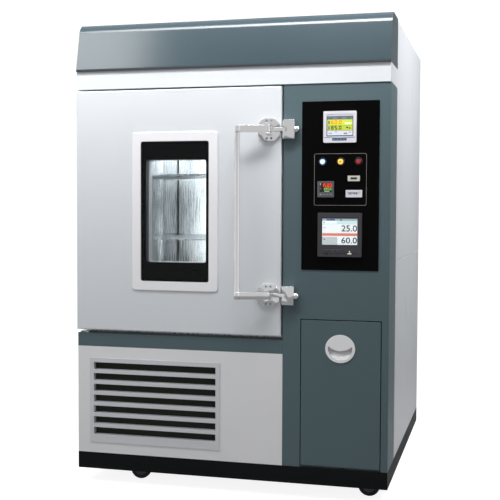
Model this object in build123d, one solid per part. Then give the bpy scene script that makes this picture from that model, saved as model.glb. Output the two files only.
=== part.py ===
from build123d import *
from math import cos, radians, sin
import os

# Floor-standing temperature and humidity test chamber.
# Millimetres. +Z is up, the front faces -Y and +X is to the viewer's right.
# The origin is on the floor, in the middle of the footprint of the whole chamber.

# Cabinet
cabinet_width = 1100.0
cabinet_depth = 1114.0
column_width = 356.0
sheet = 2.0
skirt_clearance = 50.0
skirt_height = 58.0
lower_panel_height = 379.0
sill_height = 47.0
band_height = 63.0
band_proud = 4.0
cap_height = 171.0
fascia_depth = 189.0
cap_overhang = 11.0
cap_lean = 38.0
cap_round = 45.0
top_drop = 4.0
lower_side_height = 687.0
side_seam_width = 3.0

# Main door
door_height = 836.0
door_thickness = 66.0
door_proud = 10.0
door_side_gap = 5.0
door_bottom_gap = 13.0
door_top_gap = 6.0
door_edge_round = 4.0
gasket_thickness = 6.0
gasket_width = 24.0
gasket_inset = 24.0
running_gap = 0.5
hinge_inset = 15.0
hinge_setback = 46.0
hinge_pin_radius = 5.0
hinge_pin_length = 16.0
hinge_bore_end = 1.0
hinge_boss_radius = 9.0
hinge_leaf = 4.0
hinge_leaf_width = 34.0
pin_clearance = 0.06

# Window in the door
window_left = 210.0
window_right_margin = 219.0
window_foot_margin = 144.0
window_head_margin = 146.0
window_corner = 14.0
window_proud = 5.0
window_wall = 14.0
glass_margin = 32.0
glass_corner = 8.0
outer_glass = 6.0
inner_glass = 5.0
pane_recess = 2.0
pane_ledge = 6.0
clear_left_margin = 50.0
clear_right_margin = 44.0
clear_foot_margin = 98.5
clear_head_margin = 94.5

# Test space
cavity_left = 70.0
column_wall = 74.0
floor_wall = 68.0
roof_wall = 68.0
duct_depth = 75.0
rear_insulation = 49.5
rear_bay = 90.0

# Latches and handle
upper_latch_gap = 144.0
lower_latch_gap = 139.0
latch_inset = 79.0
latch_width = 75.0
latch_height = 76.0
latch_plate = 8.0
pivot_inset = 39.0
lever_height = 24.0
lever_thickness = 12.0
lever_standoff = 36.0
lever_hub_radius = 9.0
lever_pin_radius = 3.5
lug_height = 7.0
bar_inset = 136.0
bar_radius = 9.0
bar_collar = 2.0
bar_standoff = 60.0
bolt_height = 12.0
bolt_thickness = 8.0
bolt_standoff = 7.0
bolt_reach = 17.0
bolt_tail = 56.0
bolt_travel = 15.0
finger_width = 5.0
finger_height = 9.0
finger_depth = 28.0
finger_room = 3.0
strike_width = 42.0
strike_height = 62.0
strike_depth = 24.0
strike_base = 3.0
strike_slot_gap = 1.0
strike_slot_end = 3.0
strike_round = 5.0
knob_radius = 11.0
knob_inset = 49.0
knob_stem_radius = 5.0
knob_depth = 19.0

# Louvre grille
grille_left = 46.0
grille_width = 479.0
grille_foot = 37.0
grille_height = 301.0
grille_rim = 15.0
grille_proud = 3.0
grille_depth = 16.0
slot_count = 7
blade_height = 14.0
blade_sheet = 2.0
grille_top_rim = 15.5

# Control panel and its instruments
panel_inset = 63.0
panel_width = 257.0
panel_top_gap = 59.0
panel_height = 557.0
panel_sheet = 3.0
panel_lip = 8.0
controller_inset = 73.0
controller_width = 109.0
controller_rise = 420.0
controller_height = 103.0
controller_proud = 9.0
controller_depth = 70.0
recorder_inset = 57.0
recorder_width = 146.0
recorder_rise = 45.0
recorder_height = 145.0
recorder_proud = 12.0
recorder_depth = 120.0
limiter_inset = 54.0
limiter_width = 55.0
limiter_rise = 241.0
limiter_height = 53.0
limiter_proud = 6.0
limiter_depth = 75.0
body_inset = 4.0
bezel_round = 4.0
screen_sink = 2.0
screen_sheet = 1.2
key_width = 7.0
key_height = 4.0
key_pitch = 11.0
key_proud = 0.8
key_travel = 0.6
key_count = 4
key_cover = 2.0
key_web = 1.2
key_web_gap = 0.1
recorder_keys = 5
recorder_key_gap = 3.0
recorder_key_height = 11.0
recorder_key_proud = 1.5
port_inset = 154.0
port_width = 40.0
port_rise = 294.0
port_height = 18.0
meter_inset = 148.0
meter_width = 54.0
meter_rise = 241.0
meter_height = 24.0
fitting_proud = 4.0
button_rise = 358.0
button_insets = {"power_button": 70.0, "run_button": 130.0, "alarm_button": 189.0}
button_radius = 9.0
button_proud = 6.0
button_travel = 3.0
button_stem_radius = 6.0
button_ring = 3.0
button_ring_proud = 3.0
button_barrel = 40.0
button_barrel_wall = 1.0
button_cap_round = 2.0

# Service door over the water tank
service_inset = 64.0
service_width = 266.0
service_gap = 3.0
service_height = 500.0
service_thickness = 20.0
service_jamb = 24.0
service_knuckle = 8.0
service_pin_radius = 3.0
pull_inset = 85.0
pull_width = 94.0
pull_drop = 140.0
pull_height = 88.0
pull_rim = 4.0
pull_fit = 0.4
pull_cover_share = 0.42
pull_cover_round = 60.0
pull_scoop_share = 0.08
pull_proud = 3.0
pull_depth = 17.0
pull_wall = 2.5

# Casters
wheel_radius = 37.5
wheel_width = 26.0
hub_radius = 24.0
caster_height = 97.0
caster_trail = 28.0
fork_gap = 1.0
fork_sheet = 3.0
axle_radius = 4.0
kingpin_radius = 6.0
kingpin_length = 10.0
race_radius = 24.0
race_height = 7.0
caster_plate = 3.0
caster_plate_width = 74.0
caster_inset = 100.0
caster_setback = 95.0
front_left_inset = 175.0
front_swivel = -90.0
rear_swivel = 0.0

# Base frame
frame_tube_height = 40.0
frame_tube_width = 30.0
frame_setback = 30.0
deck_sheet = 3.0
post_width = 36.0

# Inside
liner_sheet = 2.0
rail_width = 44.0
rail_depth = 10.0
rail_slot_pitch = 54.0
rail_slot_width = 12.0
rail_slot_height = 8.0
front_rail_place = 150.0
rear_rail_gap = 207.5
rail_end_gap = 20.0
shelf_rises = (253.0, 483.0)
shelf_sheet = 2.0
shelf_lip = 6.0
shelf_side_gap = 3.0
shelf_front = 105.0
shelf_back_gap = 152.5
shelf_hole_radius = 5.0
shelf_hole_pitch = 42.0
lamp_radius = 8.0
lamp_setback = 34.0
lamp_wall_gap = 6.0
fan_drop = 225.0
fan_radius = 110.0
fan_eye_radius = 90.0
fan_width = 38.0
fan_blades = 12
fan_hub_radius = 24.0
fan_shaft_radius = 6.0
motor_radius = 48.0
motor_length = 70.0
port_hole_radius = 26.0
port_bore_radius = 25.0
port_place = 480.0
port_rise_in_cavity = 365.0
port_flange = 12.0
port_flange_sheet = 3.0
port_cap_thickness = 12.0
port_cap_wall = 3.0
condenser_fan_radius = 125.0
condenser_width = 420.0
condenser_height = 300.0
condenser_depth = 44.0
condenser_setback = 60.0
condenser_shroud = 50.0
condenser_motor_gap = 14.0
condenser_motor_length = 60.0
compressor_from_left = 300.0
compressor_from_back = 474.0
compressor_foot = 22.0
compressor_height = 230.0
chassis_place = 430.0
pipe_radius = 6.0
pipe_bend = 30.0

# Worked-out heights, all above the floor
skirt_top = skirt_clearance + skirt_height
lower_panel_top = skirt_top + lower_panel_height
sill_top = lower_panel_top + sill_height
door_bottom = sill_top + door_bottom_gap
door_top = door_bottom + door_height
band_bottom = door_top + door_top_gap
band_top = band_bottom + band_height
cap_top = band_top + cap_height
cabinet_top = cap_top - top_drop
frame_bottom = caster_height + caster_plate
frame_top = frame_bottom + frame_tube_height
deck_top = frame_top + deck_sheet
side_seam_height = skirt_top + lower_side_height
window_base = door_bottom + window_foot_margin
window_height = door_height - window_foot_margin - window_head_margin
clear_base = window_base + clear_foot_margin
clear_height = window_height - clear_foot_margin - clear_head_margin
cavity_base = door_bottom + floor_wall
cavity_height = door_height - floor_wall - roof_wall
cavity_top = cavity_base + cavity_height
shelf_heights = [cavity_base + rise for rise in shelf_rises]
fan_height = cavity_top - fan_drop
port_height_above_floor = cavity_base + port_rise_in_cavity
upper_latch_height = door_top - upper_latch_gap
lower_latch_height = door_bottom + lower_latch_gap
grille_base = skirt_top + grille_foot
panel_base = band_bottom - panel_top_gap - panel_height
controller_base = panel_base + controller_rise
recorder_base = panel_base + recorder_rise
limiter_base = panel_base + limiter_rise
port_base = panel_base + port_rise
meter_base = panel_base + meter_rise
button_height = panel_base + button_rise
service_top = skirt_top + service_height
pull_base = service_top - pull_drop

# Worked-out places across, all from the left side of the cabinet
column_left = cabinet_width - column_width
door_width = column_left - door_side_gap
window_width = door_width - window_left - window_right_margin
clear_left = window_left + clear_left_margin
clear_width = window_width - clear_left_margin - clear_right_margin
cavity_width = column_left - cavity_left - column_wall
cavity_right = cavity_left + cavity_width
latch_left = door_width - latch_inset
latch_pivot_from_left = door_width - pivot_inset
bar_from_left = door_width - bar_inset
knob_from_left = column_left + knob_inset
panel_left = column_left + panel_inset
controller_left = panel_left + controller_inset
recorder_left = panel_left + recorder_inset
limiter_left = panel_left + limiter_inset
port_left = panel_left + port_inset
meter_left = panel_left + meter_inset
button_places = {name: panel_left + inset for name, inset in button_insets.items()}
service_left = column_left + service_inset
pull_left = service_left + pull_inset

# The column's face and the cabinet's left side, placed so that the whole footprint is centred
handle_reach = door_proud + bar_standoff + bar_radius + bar_collar
face = (handle_reach - cabinet_depth) / 2
left_side = (port_flange_sheet - cabinet_width) / 2

# Worked-out depths, all behind the face of the column
door_back = door_thickness - door_proud
carcass_front = door_back + gasket_thickness + running_gap
insulation_depth = cabinet_depth - rear_bay
liner_back = insulation_depth - rear_insulation - liner_sheet
baffle_place = liner_back - duct_depth
rear_rail_place = baffle_place - rear_rail_gap
shelf_depth = baffle_place - shelf_back_gap - shelf_front
compressor_back = cabinet_depth - compressor_from_back
shroud_front = condenser_setback + condenser_depth
shroud_back = shroud_front + condenser_shroud


def span(start, length):
    """The two ends of a length that starts at a place."""
    return (start, start + length)


def block(across, deep, high):
    """A box from its ends: across from the left side, deep behind the column's face, high above the floor."""
    width = across[1] - across[0]
    depth = deep[1] - deep[0]
    height = high[1] - high[0]
    middle_x = left_side + (across[0] + across[1]) / 2
    middle_y = face + (deep[0] + deep[1]) / 2
    return Pos(middle_x, middle_y, (high[0] + high[1]) / 2) * Box(width, depth, height)


def place(across, deep, high):
    """A location from the same three measures as a block."""
    return Pos(left_side + across, face + deep, high)


def rod_x(radius, across, deep, high):
    """A round bar along X."""
    middle = (across[0] + across[1]) / 2
    return place(middle, deep, high) * Rot(0, 90, 0) * Cylinder(radius, across[1] - across[0])


def rod_y(radius, across, deep, high):
    """A round bar along Y."""
    middle = (deep[0] + deep[1]) / 2
    return place(across, middle, high) * Rot(90, 0, 0) * Cylinder(radius, deep[1] - deep[0])


def rod_z(radius, across, deep, high):
    """An upright round bar."""
    middle = (high[0] + high[1]) / 2
    return place(across, deep, middle) * Cylinder(radius, high[1] - high[0])


def rounded_block(across, deep, high, radius):
    """A box whose four edges along Y are rounded."""
    whole = block(across, deep, high)
    return fillet(whole.edges().filter_by(Axis.Y), radius)


def base_frame():
    outer_x = (sheet, cabinet_width - sheet)
    outer_y = (frame_setback, cabinet_depth - sheet)
    high = (frame_bottom, frame_top)
    inner_x = (outer_x[0] + frame_tube_width, outer_x[1] - frame_tube_width)
    inner_y = (outer_y[0] + frame_tube_width, outer_y[1] - frame_tube_width)
    frame = block(outer_x, outer_y, high) - block(inner_x, inner_y, high)
    for setback in (caster_setback, cabinet_depth - caster_setback):
        rail_y = (setback - caster_plate_width / 2, setback + caster_plate_width / 2)
        frame += block(inner_x, rail_y, high)
    frame += block(outer_x, outer_y, (frame_top, deck_top))
    post_xs = (sheet, column_left - post_width)
    post_ys = (carcass_front + sheet, insulation_depth - post_width)
    for left in post_xs:
        for front in post_ys:
            frame += block(span(left, post_width), span(front, post_width), (deck_top, sill_top))
    solids = [frame]
    for name, across, deep, swivel in caster_places():
        half = caster_plate_width / 2
        plate = block((across - half, across + half), (deep - half, deep + half), (caster_height, frame_bottom))
        hole_top = caster_height + kingpin_length
        hole = rod_z(kingpin_radius + pin_clearance, across, deep, (caster_height, hole_top))
        solids[0] -= hole
        solids.append(plate - hole)
    return solids


def caster_places():
    back = cabinet_depth - caster_setback
    right = cabinet_width - caster_inset
    return (
        ("front_left", front_left_inset, caster_setback, front_swivel),
        ("front_right", right, caster_setback, front_swivel),
        ("rear_left", caster_inset, back, rear_swivel),
        ("rear_right", right, back, rear_swivel),
    )


def turned(shape, across, deep, swivel):
    """A caster piece turned about its kingpin."""
    kingpin = place(across, deep, 0)
    return kingpin * Rot(0, 0, swivel) * kingpin.inverse() * shape


def caster_fork(across, deep, swivel):
    wheel_y = deep + caster_trail
    half_width = wheel_width / 2 + fork_gap
    race_top = caster_height - running_gap
    race = rod_z(race_radius, across, deep, (race_top - race_height, race_top))
    leg_top = race_top - race_height
    crown_y = (deep - race_radius, wheel_y + axle_radius * 2)
    fork = race + rod_z(kingpin_radius, across, deep, (race_top, caster_height + kingpin_length - running_gap))
    outer = half_width + fork_sheet
    fork += block((across - outer, across + outer), crown_y, (leg_top - fork_sheet, leg_top))
    for side in (-1, 1):
        near = across + side * half_width
        far = across + side * outer
        leg_x = (min(near, far), max(near, far))
        leg_y = (deep - fork_sheet * 2, wheel_y + axle_radius * 2)
        leg = block(leg_x, leg_y, (wheel_radius - axle_radius * 2, leg_top))
        shear = rod_x(wheel_radius, leg_x, deep - wheel_radius * 0.62, wheel_radius * 0.8)
        fork += leg - shear
    fork += rod_x(axle_radius, (across - outer, across + outer), wheel_y, wheel_radius)
    return turned(fork, across, deep, swivel)


def caster_wheel(across, deep, swivel):
    wheel_y = deep + caster_trail
    half = wheel_width / 2
    bore = rod_x(axle_radius + pin_clearance, (across - half, across + half), wheel_y, wheel_radius)
    hub = rod_x(hub_radius, (across - half, across + half), wheel_y, wheel_radius) - bore
    tyre = rod_x(wheel_radius, (across - half, across + half), wheel_y, wheel_radius)
    tyre = fillet(tyre.edges().filter_by(GeomType.CIRCLE), wheel_width / 5)
    tyre -= rod_x(hub_radius, (across - half, across + half), wheel_y, wheel_radius)
    return [turned(hub, across, deep, swivel), turned(tyre, across, deep, swivel)]


def base_skirt():
    high = (skirt_clearance, skirt_top)
    outer = block((0, cabinet_width), (0, cabinet_depth), high)
    inner = block((sheet, cabinet_width - sheet), (sheet, cabinet_depth - sheet), high)
    return outer - inner


def left_side_panel():
    lower = block((0, sheet), (sheet, carcass_front), (skirt_top, sill_top))
    middle = block((0, sheet), (carcass_front, fascia_depth), (skirt_top, band_bottom))
    rear = block((0, sheet), (fascia_depth, cabinet_depth - sheet), (skirt_top, cabinet_top))
    hole = rod_x(port_hole_radius, (0, sheet), port_place, port_height_above_floor)
    return lower + middle + rear - hole


def right_side_panel():
    across = (cabinet_width - sheet, cabinet_width)
    panel = block(across, (fascia_depth, cabinet_depth - sheet), (skirt_top, cabinet_top))
    seam_x = (cabinet_width - sheet / 2, cabinet_width)
    seam = block(seam_x, (fascia_depth, cabinet_depth - sheet), span(side_seam_height, side_seam_width))
    return panel - seam


def rear_panel():
    deep = (cabinet_depth - sheet, cabinet_depth)
    panel = block((0, cabinet_width), deep, (skirt_top, cabinet_top))
    vent_inset = 120.0
    vent_width = 150.0
    vent_height = 9.0
    vent_pitch = 24.0
    vent_rows = 9
    vent_gap = 50.0
    vent_base = skirt_top + 80.0
    second_vent = vent_inset + vent_width + vent_gap
    last_vent = cabinet_width - vent_inset - vent_width
    for left in (vent_inset, second_vent, last_vent):
        for row in range(vent_rows):
            panel -= block(span(left, vent_width), deep, span(vent_base + row * vent_pitch, vent_height))
    inlet_width = 52.0
    inlet_height = 34.0
    inlet_left = last_vent - 230.0
    inlet_base = skirt_top + 112.0
    inlet_depth = 26.0
    opening = block(span(inlet_left, inlet_width), deep, span(inlet_base, inlet_height))
    inlet_y = (cabinet_depth - inlet_depth, cabinet_depth)
    socket = block(span(inlet_left, inlet_width), inlet_y, span(inlet_base, inlet_height))
    recess_x = span(inlet_left + sheet, inlet_width - 2 * sheet)
    recess_y = (cabinet_depth - inlet_depth + sheet, cabinet_depth)
    socket -= block(recess_x, recess_y, span(inlet_base + sheet, inlet_height - 2 * sheet))
    blade = 5.0
    blade_half = 1.0
    blade_pitch = 14.0
    for offset in (-blade_pitch, 0.0, blade_pitch):
        middle = inlet_left + inlet_width / 2 + offset
        blade_y = (cabinet_depth - inlet_depth + sheet, cabinet_depth - blade)
        blade_z = span(inlet_base + inlet_height / 2 - blade, 2 * blade)
        socket += block((middle - blade_half, middle + blade_half), blade_y, blade_z)
    return [panel - opening, socket]


def top_panel():
    across = (sheet, cabinet_width - sheet)
    return block(across, (fascia_depth, cabinet_depth - sheet), (cabinet_top - sheet, cabinet_top))


def cap_profile(shrink):
    """The end outline of the cap, drawn in by shrink on every side, as a face in the YZ plane."""
    slope = cap_lean / cap_height
    front_foot = -cap_overhang + shrink * (1 + slope)
    low = band_top + shrink
    high = cap_top - shrink
    front_head = -cap_overhang + shrink + (high - band_top) * slope
    corners = [
        (face + front_foot, low),
        (face + front_head, high),
        (face + fascia_depth - shrink, high),
        (face + fascia_depth - shrink, low),
    ]
    outline = make_face(Polyline(*corners, close=True))
    front_top = sorted(outline.vertices(), key=lambda corner: corner.X - corner.Y)[0]
    outline = fillet([front_top], cap_round - shrink)
    return Plane.YZ * outline


def top_cap():
    outer = extrude(cap_profile(0.0), cabinet_width / 2, both=True)
    inner = extrude(cap_profile(sheet), cabinet_width / 2 - sheet, both=True)
    return Pos(left_side + cabinet_width / 2, 0, 0) * (outer - inner)


def header_band():
    high = (band_bottom, band_top)
    outer = block((0, cabinet_width), (-band_proud, fascia_depth), high)
    inner_x = (sheet, cabinet_width - sheet)
    return outer - block(inner_x, (sheet - band_proud, fascia_depth), (band_bottom + sheet, band_top))


def front_fascia():
    column_x = (column_left, cabinet_width)
    column_z = (skirt_top, band_bottom)
    outer = block(column_x, (0, fascia_depth), column_z)
    inner_x = (column_left + sheet, cabinet_width - sheet)
    column = outer - block(inner_x, (sheet, fascia_depth), column_z)
    column -= block((column_left, column_left + sheet), (carcass_front, fascia_depth), column_z)
    column -= block((column_left, column_left + sheet), (sheet, carcass_front), (skirt_top, deck_top))
    panel_x = span(panel_left + panel_lip, panel_width - 2 * panel_lip)
    panel_z = span(panel_base + panel_lip, panel_height - 2 * panel_lip)
    column -= block(panel_x, (0, sheet), panel_z)
    door_x = span(service_left - service_gap, service_width + 2 * service_gap)
    door_z = (skirt_top, service_top)
    jambs = block((door_x[0] - sheet, door_x[1] + sheet), (0, service_jamb), (skirt_top, service_top + sheet))
    column += jambs - block(door_x, (0, service_jamb), door_z)
    column -= block(door_x, (0, sheet), door_z)
    pin_x = (door_x[0] - sheet, door_x[1] + sheet)
    column -= rod_x(service_pin_radius + pin_clearance, pin_x, service_pin_back(), service_pin_height())
    sill = block((sheet, column_left - running_gap), (0, carcass_front), (lower_panel_top, sill_top))
    sill_inside_z = (lower_panel_top, sill_top - sheet)
    sill -= block((sheet, column_left - running_gap), (sheet, carcass_front), sill_inside_z)
    sill += block((0, sheet), (0, sheet), (lower_panel_top, sill_top))
    return [column, sill]


def service_pin_back():
    return service_knuckle


def service_pin_height():
    return skirt_top + service_gap + service_knuckle


def lower_front_panel():
    panel = block((0, column_left), (0, sheet), (skirt_top, lower_panel_top))
    margin = grille_rim - body_inset
    cut_x = span(grille_left + margin, grille_width - 2 * margin)
    cut_z = span(grille_base + margin, grille_height - 2 * margin)
    return panel - block(cut_x, (0, sheet), cut_z)


def louvre_grille():
    across = span(grille_left, grille_width)
    high = span(grille_base, grille_height)
    corner = 3.0
    plate = rounded_block(across, (-grille_proud, 0), high, corner)
    open_x = span(grille_left + grille_rim, grille_width - 2 * grille_rim)
    open_z = (grille_base + grille_top_rim, grille_base + grille_height - grille_top_rim)
    plate -= block(open_x, (-grille_proud, 0), open_z)
    cheek = 3.0
    grille = plate
    for left in (open_x[0] - cheek, open_x[1]):
        grille += block(span(left, cheek), (-grille_proud, grille_depth), open_z)
    pitch = (open_z[1] - open_z[0]) / slot_count
    for row in range(slot_count):
        grille += louvre_blade(open_x, open_z[0] + row * pitch)
    return grille


def louvre_blade(across, foot):
    """One blade: an upright lip in front, and a sheet that slants up behind it."""
    front = face - grille_proud
    back = face + grille_depth
    bend = foot + blade_sheet
    corners = [
        (front, foot),
        (front + blade_sheet, foot),
        (back, foot + blade_height - blade_sheet),
        (back, foot + blade_height),
        (front + blade_sheet, bend),
        (front + blade_sheet, foot + blade_height),
        (front, foot + blade_height),
    ]
    outline = Plane.YZ * make_face(Polyline(*corners, close=True))
    blade = extrude(outline, (across[1] - across[0]) / 2, both=True)
    return Pos(left_side + (across[0] + across[1]) / 2, 0, 0) * blade


def control_panel():
    high = span(panel_base, panel_height)
    corner = 3.0
    plate = rounded_block(span(panel_left, panel_width), (-panel_sheet, 0), high, corner)
    barrel_radius = button_radius + button_barrel_wall
    ring_y = (-panel_sheet - button_ring_proud, -panel_sheet)
    press_room = button_travel + running_gap * 2
    for left, base, width, height in instrument_bodies():
        plate -= block(span(left, width), (-panel_sheet, 0), span(base, height))
    for across in button_places.values():
        plate -= rod_y(barrel_radius, across, (-panel_sheet, 0), button_height)
    solids = [plate]
    for across in button_places.values():
        ring = rod_y(button_radius + button_ring, across, ring_y, button_height)
        tube = rod_y(barrel_radius, across, (-panel_sheet, button_barrel), button_height)
        bore = rod_y(button_radius + running_gap, across, (ring_y[0], 0), button_height)
        stem = rod_y(button_stem_radius + pin_clearance, across, (0, button_barrel), button_height)
        room = rod_y(button_radius + running_gap, across, (0, press_room), button_height)
        solids.append(ring + tube - bore - stem - room)
    return solids


def instrument_bodies():
    """Left, base, width and height of each body that passes through the panel."""
    sides = (
        (controller_left, controller_base, controller_width, controller_height),
        (recorder_left, recorder_base, recorder_width, recorder_height),
        (limiter_left, limiter_base, limiter_width, limiter_height),
        (port_left, port_base, port_width, port_height),
        (meter_left, meter_base, meter_width, meter_height),
    )
    inset = body_inset
    return [(a + inset, b + inset, w - 2 * inset, h - 2 * inset) for a, b, w, h in sides]


def instrument(index, proud, depth, bezel):
    """A bezel in front of the panel with its body behind."""
    left, base, width, height = instrument_bodies()[index]
    body = block(span(left, width), (-panel_sheet, depth), span(base, height))
    bezel_x = span(left - body_inset, width + 2 * body_inset)
    bezel_z = span(base - body_inset, height + 2 * body_inset)
    front = rounded_block(bezel_x, (-panel_sheet - proud, -panel_sheet), bezel_z, bezel)
    return front + body


def screen_in(across, proud, high):
    """The recess in a bezel and the display that sits in it."""
    front = -panel_sheet - proud
    recess = block(across, (front, front + screen_sink + screen_sheet), high)
    display = block(across, (front + screen_sink, front + screen_sink + screen_sheet), high)
    return recess, display


def controller():
    case = instrument(0, controller_proud, controller_depth, bezel_round)
    side_rim = 10.0
    foot_rim = 20.0
    across = (controller_left + side_rim, controller_left + controller_width - side_rim)
    high = (controller_base + foot_rim, controller_base + controller_height - side_rim)
    recess, display = screen_in(across, controller_proud, high)
    return [case - recess, display]


def recorder():
    case = instrument(1, recorder_proud, recorder_depth, bezel_round)
    side_rim = 12.0
    foot_rim = 38.0
    head_rim = 16.0
    across = (recorder_left + side_rim, recorder_left + recorder_width - side_rim)
    high = (recorder_base + foot_rim, recorder_base + recorder_height - head_rim)
    recess, display = screen_in(across, recorder_proud, high)
    case -= recess
    front = -panel_sheet - recorder_proud
    key_rim = 18.0
    key_foot = 13.0
    key_z = span(recorder_base + key_foot, recorder_key_height)
    strip_width = recorder_width - 2 * key_rim
    key_step = (strip_width + recorder_key_gap) / recorder_keys
    for number in range(recorder_keys):
        key_x = span(recorder_left + key_rim + number * key_step, key_step - recorder_key_gap)
        case += block(key_x, (front - recorder_key_proud, front), key_z)
    return [case, display]


def limiter_key_xs():
    middle = limiter_left + limiter_width / 2
    first = middle - key_pitch * (key_count - 1) / 2
    return [first + key_pitch * number for number in range(key_count)]


def limit_controller():
    corner = 3.0
    case = instrument(2, limiter_proud, limiter_depth, corner)
    side_rim = 7.0
    foot_rim = 17.0
    head_rim = 6.0
    across = (limiter_left + side_rim, limiter_left + limiter_width - side_rim)
    high = (limiter_base + foot_rim, limiter_base + limiter_height - head_rim)
    recess, display = screen_in(across, limiter_proud, high)
    case -= recess
    front = -panel_sheet - limiter_proud
    pocket_front = front + key_cover
    pocket_back = pocket_front + key_web_gap + key_web + 2 * key_travel
    gap = running_gap / 2
    for middle in limiter_key_xs():
        case -= block(limiter_key_side(middle, gap), (front, pocket_front), limiter_key_rise(gap))
    web_x, web_z = limiter_web(1.0)
    case -= block(web_x, (pocket_front, pocket_back), web_z)
    return [case, display]


def limiter_key_side(middle, gap):
    """The two sides of one key, with a gap round it."""
    return (middle - key_width / 2 - gap, middle + key_width / 2 + gap)


def limiter_key_rise(gap):
    """The foot and the head of the row of keys, with a gap round it."""
    middle = limiter_key_height()
    return (middle - key_height / 2 - gap, middle + key_height / 2 + gap)


def limiter_web(gap):
    """The sheet that joins the keys behind the bezel, with a gap round it."""
    rim = 6.0
    web_half = 3.5
    across = (limiter_left + rim - gap, limiter_left + limiter_width - rim + gap)
    middle = limiter_key_height()
    return across, (middle - web_half - gap, middle + web_half + gap)


def limiter_key_height():
    key_rise = 9.0
    return limiter_base + key_rise


def limit_key_mat():
    front = -panel_sheet - limiter_proud
    web_front = front + key_cover + key_web_gap
    web_x, web_z = limiter_web(0.0)
    mat = block(web_x, span(web_front, key_web), web_z)
    for middle in limiter_key_xs():
        mat += block(limiter_key_side(middle, 0.0), (front - key_proud, web_front), limiter_key_rise(0.0))
    return mat


def serial_port():
    left, base, width, height = instrument_bodies()[3]
    shell_depth = 12.0
    slot_depth = 6.0
    corner = 2.0
    port = block(span(left, width), (-panel_sheet, shell_depth), span(base, height))
    plate_x = span(port_left, port_width)
    plate_z = span(port_base, port_height)
    port += rounded_block(plate_x, (-panel_sheet - fitting_proud / 2, -panel_sheet), plate_z, corner)
    side_wall = 5.0
    thin_wall = 1.5
    slot_x = span(left + side_wall, width - 2 * side_wall)
    slot_z = span(base + thin_wall, height - 2 * thin_wall)
    return port - rounded_block(slot_x, (-panel_sheet - fitting_proud, slot_depth), slot_z, corner)


def hour_meter():
    meter_depth = 30.0
    corner = 2.0
    side_rim = 6.0
    foot_rim = 7.0
    meter = instrument(4, fitting_proud, meter_depth, corner)
    across = (meter_left + side_rim, meter_left + meter_width - side_rim)
    high = (meter_base + foot_rim, meter_base + meter_height - foot_rim)
    recess, display = screen_in(across, fitting_proud, high)
    return [meter - recess, display]


def illuminated_button(across):
    front = -panel_sheet - button_proud
    cap = rod_y(button_radius, across, (front, 0), button_height)
    cap = fillet(cap.edges().filter_by(GeomType.CIRCLE).sort_by(Axis.Y)[0], button_cap_round)
    stem_back = button_barrel - button_travel - running_gap * 2
    return cap + rod_y(button_stem_radius, across, (0, stem_back), button_height)


def inner_liner():
    inner_x = span(cavity_left, cavity_width)
    inner_z = span(cavity_base, cavity_height)
    wall = liner_sheet
    outer_x = (inner_x[0] - wall, inner_x[1] + wall)
    outer_z = (inner_z[0] - wall, inner_z[1] + wall)
    flange = block((sheet, column_left), (carcass_front, carcass_front + wall), (sill_top, band_bottom))
    tub = block(outer_x, (carcass_front, liner_back + wall), outer_z)
    liner = flange + tub - block(inner_x, (carcass_front, liner_back), inner_z)
    hole = rod_x(port_hole_radius, (outer_x[0], inner_x[0]), port_place, port_height_above_floor)
    shaft = shaft_hole((liner_back, liner_back + wall))
    return liner - hole - shaft


def shaft_hole(deep):
    """The clearance hole for the circulation fan's shaft."""
    shaft_clearance = 4.0
    return rod_y(fan_shaft_radius + shaft_clearance, fan_across(), deep, fan_height)


def fan_across():
    return cavity_left + cavity_width / 2


def insulation():
    wall = liner_sheet
    across = (sheet, column_left)
    deep = (carcass_front + wall, insulation_depth)
    outer = block(across, deep, (sill_top, band_bottom))
    hollow_x = (cavity_left - wall, cavity_left + cavity_width + wall)
    hollow_z = (cavity_base - wall, cavity_base + cavity_height + wall)
    foam = outer - block(hollow_x, (deep[0], liner_back + wall), hollow_z)
    hole = rod_x(port_hole_radius, (across[0], hollow_x[0]), port_place, port_height_above_floor)
    return foam - hole - shaft_hole((liner_back, insulation_depth))


def shelf_rails():
    """Four slotted uprights screwed to the side walls of the test space."""
    rails = []
    high = (cavity_base + rail_end_gap, cavity_top - rail_end_gap)
    for place_y in (front_rail_place, rear_rail_place):
        for side in (0, 1):
            left = cavity_left if side == 0 else cavity_right - rail_depth
            across = span(left, rail_depth)
            deep = (place_y - rail_width / 2, place_y + rail_width / 2)
            rail = block(across, deep, high)
            hollow_left = left if side == 0 else left + sheet
            hollow = (place_y - rail_width / 2 + sheet, place_y + rail_width / 2 - sheet)
            rail -= block(span(hollow_left, rail_depth - sheet), hollow, high)
            count = int((high[1] - high[0]) / rail_slot_pitch)
            for number in range(count):
                base = high[0] + rail_slot_pitch * (number + 0.5)
                slot_y = (place_y - rail_slot_width / 2, place_y + rail_slot_width / 2)
                rail -= block(across, slot_y, span(base, rail_slot_height))
            rails.append(rail)
    return rails


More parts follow.
